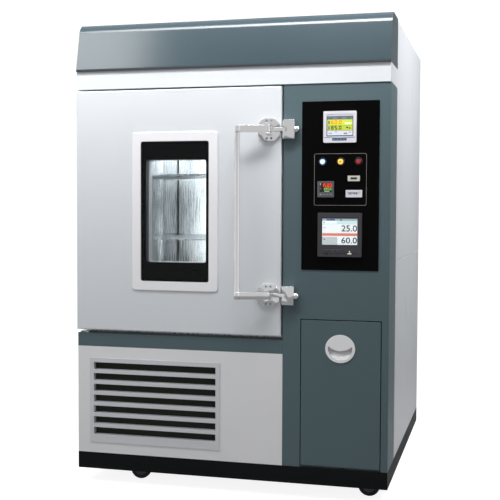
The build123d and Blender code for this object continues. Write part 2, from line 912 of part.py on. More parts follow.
def shelves():
    """Perforated trays that hang between the rails on folded hooks."""
    trays = []
    left = cavity_left + rail_depth + shelf_side_gap
    right = cavity_right - rail_depth - shelf_side_gap
    deep = span(shelf_front, shelf_depth)
    hook_inset = rail_slot_width / 2 - 1.0
    for height in shelf_heights:
        tray = block((left, right), deep, (height - shelf_lip, height))
        under_x = (left + sheet, right - sheet)
        under_y = (deep[0] + sheet, deep[1] - sheet)
        tray -= block(under_x, under_y, (height - shelf_lip, height - shelf_sheet))
        columns = int((right - left - 2 * shelf_hole_pitch) / shelf_hole_pitch)
        rows = int((shelf_depth - 2 * shelf_hole_pitch) / shelf_hole_pitch)
        middle = place((left + right) / 2, shelf_front + shelf_depth / 2, height - shelf_sheet)
        holes = GridLocations(shelf_hole_pitch, shelf_hole_pitch, columns, rows)
        tray -= middle * holes * Cylinder(shelf_hole_radius, shelf_sheet * 4)
        hook_z = span(height - shelf_lip, sheet * 2)
        for place_y in (front_rail_place, rear_rail_place):
            hook_y = (place_y - hook_inset, place_y + hook_inset)
            tray += block((left - shelf_side_gap, left), hook_y, hook_z)
            tray += block((right, right + shelf_side_gap), hook_y, hook_z)
        trays.append(tray)
    return trays


def air_baffle():
    """The rear panel of the test space, with its return grille and outlet slots."""
    deep = (baffle_place, baffle_place + sheet)
    side_gap = 4.0
    across = (cavity_left + side_gap, cavity_right - side_gap)
    slot_height = 60.0
    high = (cavity_base + slot_height, cavity_top - slot_height)
    baffle = block(across, deep, high)
    for side in (across[0], across[1] - sheet):
        baffle += block(span(side, sheet), (deep[0], liner_back), high)
    middle = fan_across()
    baffle -= rod_y(fan_eye_radius, middle, deep, fan_height)
    wire = 3.0
    rings = 4
    for number in range(rings):
        radius = fan_eye_radius * (number + 1) / rings
        baffle += rod_y(radius, middle, deep, fan_height) - rod_y(radius - wire, middle, deep, fan_height)
    long_x = (middle - fan_eye_radius, middle + fan_eye_radius)
    long_z = (fan_height - fan_eye_radius, fan_height + fan_eye_radius)
    baffle += block(long_x, deep, (fan_height - wire / 2, fan_height + wire / 2))
    baffle += block((middle - wire / 2, middle + wire / 2), deep, long_z)
    return baffle


def circulation_fan():
    """A drum-shaped blower wheel on the motor's shaft, behind the baffle."""
    across = fan_across()
    back_gap = 16.0
    rim = 16.0
    fan_back = liner_back - back_gap
    fan_front = fan_back - fan_width
    disc = rod_y(fan_radius, across, (fan_back - sheet, fan_back), fan_height)
    hub = rod_y(fan_hub_radius, across, (fan_back - fan_width / 2, fan_back), fan_height)
    wheel = disc + hub
    ring = rod_y(fan_radius, across, (fan_front, fan_front + sheet), fan_height)
    wheel += ring - rod_y(fan_radius - rim, across, (fan_front, fan_front + sheet), fan_height)
    blade_chord = 14.0
    blade_tilt = 35.0
    blade_inset = 9.0
    blade = Box(blade_chord, fan_width, sheet)
    middle = place(across, (fan_front + fan_back) / 2, fan_height)
    for number in range(fan_blades):
        turn = Rot(0, 360.0 / fan_blades * number, 0)
        wheel += middle * turn * Pos(fan_radius - blade_inset, 0, 0) * Rot(0, blade_tilt, 0) * blade
    shaft_y = (fan_back - fan_width / 2, insulation_depth + motor_length / 2)
    return wheel + rod_y(fan_shaft_radius, across, shaft_y, fan_height)


def circulation_motor():
    across = fan_across()
    body_y = span(insulation_depth, motor_length)
    motor = rod_y(motor_radius, across, body_y, fan_height)
    flange = 5.0
    flange_x = (across - motor_radius, across + motor_radius)
    flange_z = (fan_height - motor_radius, fan_height + motor_radius)
    motor += block(flange_x, span(insulation_depth, flange), flange_z)
    bore_y = (insulation_depth, insulation_depth + motor_length / 2 + 1.0)
    return motor - rod_y(fan_shaft_radius + pin_clearance, across, bore_y, fan_height)


def serpentine(left, right, deep, base, rows, pitch, radius):
    """A tube that runs to and fro across the duct in a flat stack."""
    turn = pitch / 2
    tube = None
    for row in range(rows):
        height = base + row * pitch
        run = rod_x(radius, (left, right), deep, height)
        tube = run if tube is None else tube + run
    for row in range(rows - 1):
        height = base + row * pitch + turn
        at_right = row % 2 == 0
        end = right if at_right else left
        bend = place(end, deep, height) * Rot(90, 0, 0) * Torus(turn, radius)
        side = (end, end + turn + radius) if at_right else (end - turn - radius, end)
        keep = block(side, (deep - radius, deep + radius), (height - turn - radius, height + turn + radius))
        tube += bend & keep
    return tube


def evaporator():
    """A finned cooling coil low in the air duct."""
    deep = baffle_place + duct_depth / 2
    side_gap = 60.0
    left = cavity_left + side_gap
    right = cavity_right - side_gap
    base = cavity_base + 70.0
    rows = 6
    pitch = 30.0
    coil = serpentine(left, right, deep, base, rows, pitch, pipe_radius)
    fin_count = 15
    fin_half = 1.0
    fin_half_depth = 26.0
    end_gap = 10.0
    fin_step = (right - left - 2 * end_gap) / (fin_count - 1)
    fin_z = (base - pitch / 2, base + pitch * (rows - 0.5))
    fin_y = (deep - fin_half_depth, deep + fin_half_depth)
    for number in range(fin_count):
        middle = left + end_gap + fin_step * number
        coil += block((middle - fin_half, middle + fin_half), fin_y, fin_z)
    foot_width = 20.0
    foot_half_depth = 15.0
    foot_lap = 4.0
    for across in (left, right - foot_width):
        foot_y = (deep - foot_half_depth, deep + foot_half_depth)
        coil += block(span(across, foot_width), foot_y, (cavity_base, fin_z[0] + foot_lap))
    return coil


def heater():
    """Sheathed heating rods above the coil, hung from the top of the duct."""
    deep = baffle_place + duct_depth / 2
    side_gap = 80.0
    left = cavity_left + side_gap
    right = cavity_right - side_gap
    radius = 4.0
    rows = 3
    pitch = 26.0
    fan_gap = 31.0
    base = fan_height + fan_radius + fan_gap
    rods = serpentine(left, right, deep, base, rows, pitch, radius)
    hanger_inset = 30.0
    hanger_half = 3.0
    hanger_half_depth = 8.0
    hanger_y = (deep - hanger_half_depth, deep + hanger_half_depth)
    for across in (left + hanger_inset, right - hanger_inset):
        rods += block((across - hanger_half, across + hanger_half), hanger_y, (base - pitch / 2, cavity_top))
    return rods


def humidifier():
    """A steam pan with its own heating loop on the machine deck."""
    front = 330.0
    wall = 2.0
    width = 120.0
    height = 150.0
    left = cavity_right - width + 10.0
    pan = block(span(left, width), span(front, width), span(deck_top, height))
    inside = span(left + wall, width - 2 * wall)
    pan -= block(inside, span(front + wall, width - 2 * wall), span(deck_top + wall, height - 2 * wall))
    outlet_x = left + width / 2
    outlet_y = front + width / 2
    riser_radius = 12.0
    loop_radius = 4.0
    riser_z = (deck_top + height - wall, sill_top)
    riser = rod_z(riser_radius, outlet_x, outlet_y, riser_z)
    bore = rod_z(riser_radius - wall, outlet_x, outlet_y, riser_z)
    loop_z = deck_top + height / 3
    loop = rod_x(loop_radius, (left, left + width - 3 * wall), outlet_y, loop_z)
    return [pan + riser - bore + loop]


def interior_lamp():
    """A guarded strip light upright on the left wall, near the front."""
    end_gap = 90.0
    holder = 20.0
    holder_half_depth = 11.0
    low = cavity_base + end_gap
    high = cavity_top - end_gap
    deep = carcass_front + lamp_setback
    across = cavity_left + lamp_radius + lamp_wall_gap
    tube = rod_z(lamp_radius, across, deep, (low, high))
    ends = []
    for base in (low - holder, high):
        holder_y = (deep - holder_half_depth, deep + holder_half_depth)
        ends.append(block((cavity_left, across + lamp_radius), holder_y, span(base, holder)))
    return [tube] + ends


def port_sleeve():
    """The lined cable port through the left wall."""
    across = (-port_flange_sheet, cavity_left + port_flange_sheet)
    height = port_height_above_floor
    sleeve = rod_x(port_hole_radius, across, port_place, height)
    for left in (-port_flange_sheet, cavity_left):
        sleeve += rod_x(port_hole_radius + port_flange, span(left, port_flange_sheet), port_place, height)
    return sleeve - rod_x(port_bore_radius, across, port_place, height)


def port_cap():
    """A soft cap that slips over the cable port's flange inside the test space."""
    inside_radius = port_hole_radius + port_flange + running_gap
    height = port_height_above_floor
    across = (cavity_left + running_gap, cavity_left + port_flange_sheet + port_cap_thickness)
    cap = rod_x(inside_radius + port_cap_wall, across, port_place, height)
    room = (across[0], cavity_left + port_flange_sheet + running_gap)
    return cap - rod_x(inside_radius, room, port_place, height)


def hinge_brackets():
    """Upper and lower leaves with the pins that the door turns on."""
    half = hinge_leaf_width / 2
    across = (max(sheet, hinge_inset - half), hinge_inset + half)
    pin_y = hinge_back()
    leaf_y = (pin_y - half, carcass_front)
    upper = block(across, leaf_y, (band_bottom - hinge_leaf, band_bottom))
    upper += rod_z(hinge_pin_radius, hinge_inset, pin_y, (door_top - hinge_pin_length, band_bottom))
    lower = block(across, leaf_y, span(sill_top, hinge_leaf))
    boss_top = door_bottom - running_gap
    lower += rod_z(hinge_boss_radius, hinge_inset, pin_y, (sill_top, boss_top))
    lower += rod_z(hinge_pin_radius, hinge_inset, pin_y, (sill_top, door_bottom + hinge_pin_length))
    return [upper, lower]


def hinge_back():
    """How far the hinge pin is behind the face of the column."""
    return hinge_setback - door_proud


def door_shell():
    across = (0, door_width)
    deep = (-door_proud, door_back)
    high = (door_bottom, door_top)
    whole = block(across, deep, high)
    front_edges = whole.faces().sort_by(Axis.Y)[0].edges()
    whole = fillet(front_edges, door_edge_round)
    inside_z = (door_bottom + sheet, door_top - sheet)
    inside = block((sheet, door_width - sheet), (sheet - door_proud, door_back), inside_z)
    shell = whole - inside - window_hole((-door_proud, sheet - door_proud))
    return shell - hinge_bores()


def hinge_bores():
    bore = hinge_pin_radius + pin_clearance
    depth = hinge_pin_length + hinge_bore_end
    upper = rod_z(bore, hinge_inset, hinge_back(), (door_top - depth, door_top))
    return upper + rod_z(bore, hinge_inset, hinge_back(), span(door_bottom, depth))


def window_hole(deep):
    across = span(window_left + window_wall, window_width - 2 * window_wall)
    high = span(window_base + window_wall, window_height - 2 * window_wall)
    return block(across, deep, high)


def door_liner():
    """The foam-filled inner panel of the door, faced with stainless sheet."""
    across = (sheet, door_width - sheet)
    deep = (sheet - door_proud, door_back)
    high = (door_bottom + sheet, door_top - sheet)
    core = block(across, deep, high) - window_hole(deep)
    return core - hinge_bores()


def window_frame():
    """The white trim round the window and the tunnel through the door."""
    across = span(window_left, window_width)
    high = span(window_base, window_height)
    trim = rounded_block(across, (-door_proud - window_proud, -door_proud), high, window_corner)
    front_edges = trim.faces().sort_by(Axis.Y)[0].edges()
    trim = fillet(front_edges, window_proud / 2)
    frame = trim + window_hole((-door_proud, door_back))
    glass_x, glass_z = glass_sides(0.0)
    rebate_y = (-door_proud - window_proud, outer_glass - door_proud - pane_recess)
    frame -= rounded_block(glass_x, rebate_y, glass_z, glass_corner)
    tunnel_x, tunnel_z = glass_sides(pane_ledge)
    return frame - block(tunnel_x, (-door_proud, door_back), tunnel_z)


def glass_sides(inset):
    """The two sides and the foot and head of the outer pane, drawn in by an inset."""
    side = glass_margin + inset
    across = (window_left + side, window_left + window_width - side)
    high = (window_base + side, window_base + window_height - side)
    return across, high


def window_glass():
    """Two panes, with the spacer frame between them."""
    across, high = glass_sides(0.0)
    front = -door_proud - pane_recess
    outer = rounded_block(across, (front, front + outer_glass), high, glass_corner)
    inner_x, inner_z = glass_sides(pane_ledge)
    inner_front = door_back - inner_glass
    inner = block(inner_x, (inner_front, door_back), inner_z)
    clear_x = span(clear_left, clear_width)
    clear_z = span(clear_base, clear_height)
    spacer_y = (front + outer_glass, inner_front)
    spacer = block(inner_x, spacer_y, inner_z) - block(clear_x, spacer_y, clear_z)
    return [outer, inner, spacer]


def door_gasket():
    """The soft seal on the back of the door."""
    deep = (door_back, door_back + gasket_thickness)
    outer_x = (gasket_inset, door_width - gasket_inset)
    outer_z = (door_bottom + gasket_inset, door_top - gasket_inset)
    outer_corner = 20.0
    inner_corner = 12.0
    outer = rounded_block(outer_x, deep, outer_z, outer_corner)
    inner_x = (outer_x[0] + gasket_width, outer_x[1] - gasket_width)
    inner_z = (outer_z[0] + gasket_width, outer_z[1] - gasket_width)
    return outer - rounded_block(inner_x, deep, inner_z, inner_corner)


def latch_heights():
    return (upper_latch_height, lower_latch_height)


def lever_back():
    """Depth of the lever's pivot, in front of the column's face."""
    return -door_proud - lever_standoff


def latch_cases():
    """Both latch bodies: an eight-sided plate, two lugs with the lever's pin, and a bolt guide."""
    cases = []
    front = -door_proud - latch_plate
    for height in latch_heights():
        across = span(latch_left, latch_width)
        high = (height - latch_height / 2, height + latch_height / 2)
        plate = block(across, (front, -door_proud), high)
        plate = chamfer(plate.edges().filter_by(Axis.Y), latch_width / 4)
        hub_half = lever_height / 2
        for low in (height - hub_half - running_gap - lug_height, height + hub_half + running_gap):
            lug_x = (latch_pivot_from_left - lever_hub_radius, latch_pivot_from_left + lever_hub_radius)
            plate += block(lug_x, (lever_back(), -door_proud), span(low, lug_height))
            plate += rod_z(lever_hub_radius, latch_pivot_from_left, lever_back(), span(low, lug_height))
        pin_z = (height - hub_half - lug_height, height + hub_half + lug_height)
        plate += rod_z(lever_pin_radius, latch_pivot_from_left, lever_back(), pin_z)
        plate -= bolt_channel(height)
        cases.append(plate)
    return cases


def bolt_span():
    """Ends of the bolt across the door, from its tail to its nose."""
    return (door_width - bolt_tail, door_width + bolt_reach)


def bolt_channel(height):
    room = running_gap
    deep = (bolt_front() - room, bolt_front() + bolt_thickness + room)
    high = (height - bolt_height / 2 - room, height + bolt_height / 2 + room)
    tail_room = 2.0
    tail = door_width - bolt_tail - bolt_travel - tail_room
    return block((tail, door_width + bolt_reach), deep, high)


def bolt_front():
    return -door_proud - bolt_standoff - bolt_thickness / 2


def latch_bolts():
    """The two flat bolts that the lever draws back."""
    bolts = []
    across = bolt_span()
    for height in latch_heights():
        high = (height - bolt_height / 2, height + bolt_height / 2)
        bolt = block(across, span(bolt_front(), bolt_thickness), high)
        nose = bolt.edges().filter_by(Axis.Y).sort_by(Axis.X)[-2:]
        bolt = chamfer(nose, bolt_height / 4)
        notch_half = finger_width / 2 + finger_room
        notch_x = (latch_pivot_from_left - notch_half, latch_pivot_from_left + notch_half)
        notch_back = lever_back() + finger_depth + running_gap
        bolts.append(bolt - block(notch_x, (bolt_front(), notch_back), high))
    return bolts


def latch_strikes():
    """The two keepers on the column, each slotted for its bolt, with a knob beside it."""
    strikes = []
    left = column_left
    for height in latch_heights():
        high = (height - strike_height / 2, height + strike_height / 2)
        across = span(left, strike_width)
        keeper = block(across, (-strike_depth, 0), high)
        keeper = fillet(keeper.edges().filter_by(Axis.Z).sort_by(Axis.Y)[:2], strike_round)
        slot_z = (height - bolt_height / 2 - strike_slot_gap, height + bolt_height / 2 + strike_slot_gap)
        slot_x = (left, door_width + bolt_reach + strike_slot_end)
        keeper -= block(slot_x, (-strike_depth, -strike_base), slot_z)
        keeper += rod_y(knob_stem_radius, knob_from_left, (-knob_depth, 0), height)
        knob = place(knob_from_left, -knob_depth, height) * Sphere(knob_radius)
        flat = rod_y(knob_radius, knob_from_left, (-knob_depth - knob_radius, -strike_base), height)
        keeper += knob & flat
        strikes.append(keeper)
    return strikes


def door_handle():
    """The lever: an upright bar with an arm and a hub at each latch."""
    bar_y = -door_proud - bar_standoff
    ends = (lower_latch_height - lever_height / 2, upper_latch_height + lever_height / 2)
    handle = rod_z(bar_radius, bar_from_left, bar_y, ends)
    for height in latch_heights():
        high = (height - lever_height / 2, height + lever_height / 2)
        run = latch_pivot_from_left - bar_from_left
        rise = lever_back() - bar_y
        length = (run ** 2 + rise ** 2) ** 0.5
        slant = Rot(0, 0, arm_angle())
        middle = place((latch_pivot_from_left + bar_from_left) / 2, (lever_back() + bar_y) / 2, height)
        handle += middle * slant * Box(length, lever_thickness, lever_height)
        handle += rod_z(lever_hub_radius, latch_pivot_from_left, lever_back(), high)
        handle += rod_z(bar_radius + bar_collar, bar_from_left, bar_y, high)
        finger_x = (latch_pivot_from_left - finger_width / 2, latch_pivot_from_left + finger_width / 2)
        finger_z = (height - finger_height / 2, height + finger_height / 2)
        handle += block(finger_x, span(lever_back(), finger_depth), finger_z)
        bore = rod_z(lever_pin_radius + pin_clearance, latch_pivot_from_left, lever_back(), high)
        handle -= bore
    return handle


def arm_angle():
    """Slope of the arm in plan, in degrees."""
    run = latch_pivot_from_left - bar_from_left
    rise = lever_back() + door_proud + bar_standoff
    return Vector(run, rise, 0).get_signed_angle(Vector(1, 0, 0), Vector(0, 0, -1))


def service_door():
    across = span(service_left, service_width)
    high = (skirt_top + service_gap, service_top - service_gap)
    deep = (0, service_thickness)
    door = block(across, deep, high)
    foot = door.edges().filter_by(Axis.X).sort_by(Axis.Z)[:2]
    front_foot = foot.sort_by(Axis.Y)[0]
    door = fillet(front_foot, service_knuckle - running_gap)
    inside_z = (high[0] + 2 * service_knuckle, high[1] - sheet)
    door -= block((across[0] + sheet, across[1] - sheet), (sheet, service_thickness), inside_z)
    door -= pull_shape(0.0, (0, sheet))
    pins_x = (across[0] - service_gap - sheet, across[1] + service_gap + sheet)
    pin = rod_x(service_pin_radius, pins_x, service_pin_back(), service_pin_height())
    return door + pin


def pull_shape(inset, deep):
    """The oval of the dish pull."""
    middle = place(pull_left + pull_width / 2, (deep[0] + deep[1]) / 2, pull_base + pull_height / 2)
    oval = Ellipse(pull_width / 2 - inset, pull_height / 2 - inset)
    return middle * Rot(90, 0, 0) * extrude(oval, (deep[1] - deep[0]) / 2, both=True)


def service_pull():
    """The moulded dish pull: a flat face, and under its curved edge a scoop for the fingers."""
    rim = pull_shape(-pull_proud, (-pull_proud, 0))
    dish = pull_shape(pull_fit, (0, pull_depth))
    pull = rim + dish
    pocket = pull_shape(pull_wall + pull_rim, (-pull_proud, pull_depth - pull_wall))
    scoop_foot = pull_base + pull_height * pull_scoop_share
    edge = pull_base + pull_height * pull_cover_share
    front = face - pull_proud
    back = face + pull_depth - pull_wall
    corners = [
        (front, scoop_foot),
        (back, edge),
        (back, pull_base + pull_height),
        (front, pull_base + pull_height),
    ]
    scoop = extrude(Plane.YZ * make_face(Polyline(*corners, close=True)), pull_width / 2, both=True)
    middle = pull_left + pull_width / 2
    scoop = Pos(left_side + middle, 0, 0) * scoop
    cover = rod_y(pull_cover_round, middle, span(-pull_proud, pull_wall), edge + pull_cover_round)
    return pull - ((pocket & scoop) - cover)


def compressor():
    """A hermetic compressor can on rubber feet."""
    across = compressor_from_left
    deep = compressor_back
    radius = 82.0
    shoulder = 34.0
    plate_half = (110.0, 90.0)
    plate_sheet = 8.0
    foot_radius = 13.0
    foot_inset = 18.0
    can_base = deck_top + compressor_foot
    can = rod_z(radius, across, deep, span(can_base, compressor_height))
    can = fillet(can.edges().filter_by(GeomType.CIRCLE), shoulder)
    plate_x = (across - plate_half[0], across + plate_half[0])
    plate_y = (deep - plate_half[1], deep + plate_half[1])
    body = can + block(plate_x, plate_y, span(can_base - plate_sheet / 2, plate_sheet))
    for foot_x in (plate_x[0] + foot_inset, plate_x[1] - foot_inset):
        for foot_y in (plate_y[0] + foot_inset, plate_y[1] - foot_inset):
            body += rod_z(foot_radius, foot_x, foot_y, (deck_top, can_base))
    return body


def condenser():
    """A finned condenser behind the louvre, with the fan's shroud and motor."""
    header = 8.0
    middle_x, middle_z = condenser_fan_centre()
    across = (middle_x - condenser_width / 2, middle_x + condenser_width / 2)
    deep = span(condenser_setback, condenser_depth)
    high = span(deck_top, condenser_height)
    inside_x = (across[0] + header, across[1] - header)
    inside_z = (high[0] + header, high[1] - header)
    body = block(across, deep, high) - block(inside_x, deep, inside_z)
    fins = 30
    fin_half = 0.8
    step = (inside_x[1] - inside_x[0]) / (fins + 1)
    for number in range(fins):
        middle = inside_x[0] + step * (number + 1)
        body += block((middle - fin_half, middle + fin_half), deep, inside_z)
    rows = 7
    for row in range(rows):
        height = high[0] + condenser_height * (row + 0.5) / rows
        body += rod_x(pipe_radius, inside_x, condenser_setback + condenser_depth / 2, height)
    shroud_y = (shroud_front, shroud_back)
    shroud = block(across, shroud_y, high) - block(inside_x, (shroud_front, shroud_back - sheet), inside_z)
    mouth_gap = 6.0
    shroud -= rod_y(condenser_fan_radius + mouth_gap, middle_x, shroud_y, middle_z)
    return body + shroud + condenser_motor()


def condenser_motor():
    """The fan's motor, held behind the shroud by four posts and two crossed arms."""
    middle_x, middle_z = condenser_fan_centre()
    motor_radius_behind = 38.0
    arm_width = 14.0
    arm_sheet = 6.0
    arm_place = shroud_back + 17.0
    post_radius = 5.0
    post_circle = condenser_fan_radius + 14.0
    arm_length = 2 * (post_circle + 8.0)
    motor_y = span(shroud_back + condenser_motor_gap, condenser_motor_length)
    motor = rod_y(motor_radius_behind, middle_x, motor_y, middle_z)
    for turn in (45, 135):
        motor += place(middle_x, arm_place, middle_z) * Rot(0, turn, 0) * Box(arm_length, arm_sheet, arm_width)
    for turn in (45, 135, 225, 315):
        post_x = middle_x + post_circle * cos(radians(turn))
        post_z = middle_z + post_circle * sin(radians(turn))
        motor += rod_y(post_radius, post_x, (shroud_back, arm_place), post_z)
    bore_end = 20.0
    bore_y = (shroud_back, motor_y[1] - bore_end)
    return motor - rod_y(fan_shaft_radius + pin_clearance, middle_x, bore_y, middle_z)


def condenser_fan_centre():
    return (grille_left + grille_width / 2, deck_top + condenser_height / 2)


def condenser_fan():
    middle_x, middle_z = condenser_fan_centre()
    core_gap = 28.0
    hub_radius_inside = 26.0
    hub_half = 14.0
    blade_root = 20.0
    blade_pitch = 28.0
    blade_width = 62.0
    plane = shroud_front + core_gap
    fan = rod_y(hub_radius_inside, middle_x, (plane - hub_half, plane + hub_half), middle_z)
    blades = 5
    length = condenser_fan_radius - blade_root
    for number in range(blades):
        turn = Rot(0, 360.0 / blades * number, 0)
        blade = Pos(blade_root + length / 2, 0, 0) * Rot(blade_pitch, 0, 0) * Box(length, sheet, blade_width)
        fan += place(middle_x, plane, middle_z) * turn * blade
    shaft_end = shroud_back + condenser_motor_gap + condenser_motor_length / 2
    return fan + rod_y(fan_shaft_radius, middle_x, (plane, shaft_end), middle_z)


def pipe(points, radius, bend):
    """A bent tube through points given as across, deep and high."""
    path_points = [(left_side + x, face + y, z) for x, y, z in points]
    path = FilletPolyline(*path_points, radius=bend)
    start = Plane(origin=path_points[0], z_dir=path % 0)
    return sweep(start * Circle(radius), path=path)


def refrigerant_pipes():
    """Copper lines between the compressor, the condenser and the cooling coil."""
    stub_offset = 40.0
    rise = 60.0
    drop_setback = 240.0
    drop_inset = 25.5
    can_top = deck_top + compressor_foot + compressor_height
    run_z = can_top + rise
    discharge_x = compressor_from_left + stub_offset
    drop_x = condenser_fan_centre()[0] + condenser_width / 2 - drop_inset
    drop_y = compressor_back - drop_setback
    entry_z = deck_top + rise
    discharge = pipe(
        [
            (discharge_x, compressor_back, can_top),
            (discharge_x, compressor_back, run_z),
            (discharge_x, drop_y, run_z),
            (drop_x, drop_y, run_z),
            (drop_x, drop_y, entry_z),
            (drop_x, shroud_back, entry_z),
        ],
        pipe_radius,
        pipe_bend,
    )
    suction_x = compressor_from_left - stub_offset
    coil_x = cavity_left + 100.0
    coil_y = baffle_place + duct_depth / 2
    suction = pipe(
        [
            (suction_x, compressor_back, can_top),
            (suction_x, compressor_back, run_z),
            (suction_x, coil_y, run_z),
            (coil_x, coil_y, run_z),
            (coil_x, coil_y, sill_top),
        ],
        pipe_radius,
        pipe_bend,
    )
    return [discharge, suction]


def water_tank():
    """The removable water tank behind the service door, with its cap and pump."""
    width = 200.0
    front = 50.0
    depth = 240.0
    height = 330.0
    wall = 3.0
    corner = 16.0
    left = service_left + (service_width - width) / 2 - 1.0
    across = span(left, width)
    deep = span(front, depth)
    high = span(deck_top, height)
    tank = fillet(block(across, deep, high).edges().filter_by(Axis.Z), corner)
    inside_x = (across[0] + wall, across[1] - wall)
    inside_y = (deep[0] + wall, deep[1] - wall)
    tank -= block(inside_x, inside_y, (high[0] + wall, high[1] - wall))
    cap_radius = 32.0
    cap_height_above = 24.0
    cap_setback = 60.0
    tank += rod_z(cap_radius, left + width / 2, front + cap_setback, span(high[1], cap_height_above))
    pump_gap = 20.0
    pump_width = 80.0
    pump_depth = 70.0
    pump_height = 90.0
    hose_radius = 5.0
    pump_front = deep[1] + pump_gap
    pump = block(span(left, pump_width), span(pump_front, pump_depth), span(deck_top, pump_height))
    hose_z = deck_top + pump_height / 2 - hose_radius
    pump += rod_y(hose_radius, left + pump_width / 2, (deep[1], pump_front), hose_z)
    return [tank, pump]


def electrical_box():
    """The chassis behind the instruments: a back plate with breakers, relays and a terminal rail."""
    plate_sheet = 3.0
    left = column_left + 16.0
    right = cabinet_width - 14.0
    plate_y = span(chassis_place, plate_sheet)
    box = block((left, right), plate_y, (deck_top, band_bottom))
    rows = (
        (149.0, 70.0, (40.0, 40.0, 60.0, 60.0)),
        (329.0, 90.0, (70.0, 70.0, 70.0)),
        (509.0, 60.0, (30.0, 30.0, 30.0, 30.0, 30.0, 30.0)),
        (689.0, 110.0, (110.0, 110.0)),
    )
    rail_front = plate_y[0] - 8.0
    rail_half = 17.0
    rail_inset = 20.0
    unit_depth = 60.0
    unit_inset = 30.0
    gap = 6.0
    for drop, height, widths in rows:
        base = band_bottom - drop
        middle = base + height / 2
        rail_x = (left + rail_inset, right - rail_inset)
        box += block(rail_x, (rail_front, plate_y[0]), (middle - rail_half, middle + rail_half))
        at = left + unit_inset
        for width in widths:
            box += block(span(at, width), (rail_front - unit_depth, rail_front), span(base, height))
            at += width + gap
    return box


def build_all():
    parts = {
        "base_frame": base_frame(),
        "base_skirt": base_skirt(),
        "left_side_panel": left_side_panel(),
        "right_side_panel": right_side_panel(),
        "rear_panel": rear_panel(),
        "top_panel": top_panel(),
        "top_cap": top_cap(),
        "header_band": header_band(),
        "front_fascia": front_fascia(),
        "lower_front_panel": lower_front_panel(),
        "louvre_grille": louvre_grille(),
        "control_panel": control_panel(),
        "controller": controller(),
        "recorder": recorder(),
        "limit_controller": limit_controller(),
        "limit_key_mat": limit_key_mat(),
        "serial_port": serial_port(),
        "hour_meter": hour_meter(),
        "inner_liner": inner_liner(),
        "insulation": insulation(),
        "shelf_rails": shelf_rails(),
        "shelves": shelves(),
        "air_baffle": air_baffle(),
        "evaporator": evaporator(),
        "heater": heater(),
        "humidifier": humidifier(),
        "circulation_motor": circulation_motor(),
        "circulation_fan": circulation_fan(),
        "compressor": compressor(),
        "condenser": condenser(),
        "condenser_fan": condenser_fan(),
        "refrigerant_pipes": refrigerant_pipes(),
        "water_tank": water_tank(),
        "electrical_box": electrical_box(),
        "latch_strikes": latch_strikes(),
        "port_sleeve": port_sleeve(),
        "port_cap": port_cap(),
        "hinge_brackets": hinge_brackets(),
        "interior_lamp": interior_lamp(),
        "door_shell": door_shell(),
        "door_liner": door_liner(),
        "window_frame": window_frame(),
        "window_glass": window_glass(),
        "door_gasket": door_gasket(),
        "latch_cases": latch_cases(),
        "latch_bolts": latch_bolts(),
        "door_handle": door_handle(),
        "service_door": service_door(),
        "service_pull": service_pull(),
    }
    for name, across in button_places.items():
        parts[name] = illuminated_button(across)
    for name, across, deep, swivel in caster_places():
        parts[name + "_fork"] = caster_fork(across, deep, swivel)
        parts[name + "_wheel"] = caster_wheel(across, deep, swivel)
    return parts


def as_group(shape):
    """One shape for a node, from one solid or a list of them."""
    if isinstance(shape, list):
        solids = [solid for piece in shape for solid in piece.solids()]
        return Compound(children=solids)
    solids = shape.solids()
    return solids[0] if len(solids) == 1 else Compound(children=list(solids))


os.makedirs("parts", exist_ok=True)
for node, shape in build_all().items():
    export_step(as_group(shape), "parts/" + node + ".step")
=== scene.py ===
import math

import bmesh
import bpy
from mathutils import Matrix, Vector


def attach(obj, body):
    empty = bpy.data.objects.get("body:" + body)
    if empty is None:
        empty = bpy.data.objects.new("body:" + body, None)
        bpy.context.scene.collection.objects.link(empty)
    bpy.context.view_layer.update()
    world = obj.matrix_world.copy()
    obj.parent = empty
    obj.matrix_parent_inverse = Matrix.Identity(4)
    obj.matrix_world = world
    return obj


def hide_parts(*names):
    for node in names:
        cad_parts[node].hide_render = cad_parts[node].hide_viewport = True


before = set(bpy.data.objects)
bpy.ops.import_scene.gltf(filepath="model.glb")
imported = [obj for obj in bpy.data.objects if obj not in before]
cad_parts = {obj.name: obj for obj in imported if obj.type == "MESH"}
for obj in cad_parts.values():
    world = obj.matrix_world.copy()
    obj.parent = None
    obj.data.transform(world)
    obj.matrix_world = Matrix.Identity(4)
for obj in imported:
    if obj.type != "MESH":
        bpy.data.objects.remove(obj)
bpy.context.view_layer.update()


# The view: a small pale studio with a seamless sweep, seen from the chamber's right front at chest
# height. An even soft light comes from all round. A narrow lamp close to the head makes the faces
# fall off downwards, and three more light the left of the cap, the right side and the back.
def make_object(name, mesh_or_light):
    piece = bpy.data.objects.new(name, mesh_or_light)
    bpy.context.scene.collection.objects.link(piece)
    return piece


def aim(piece, place, target):
    piece.location = place
    piece.rotation_euler = (Vector(target) - Vector(place)).to_track_quat("-Z", "Y").to_euler()


eye = Vector((0.9101, -3.7175, 0.9795))
turn_left = Matrix.Rotation(math.radians(14.54), 4, "Z")
tip_down = Matrix.Rotation(math.radians(-2.35), 4, "X")
roll = Matrix.Rotation(math.radians(-0.85), 4, "Y")
stand = Matrix.Rotation(math.radians(90), 4, "X")
camera = make_object("camera", bpy.data.cameras.new("camera"))
camera.matrix_world = Matrix.Translation(eye) @ roll @ tip_down @ turn_left @ stand
camera.data.sensor_width = 36.0
camera.data.lens = 70.49
camera.data.clip_start = 0.05
bpy.context.scene.camera = camera
bpy.context.scene.view_settings.view_transform = "Standard"

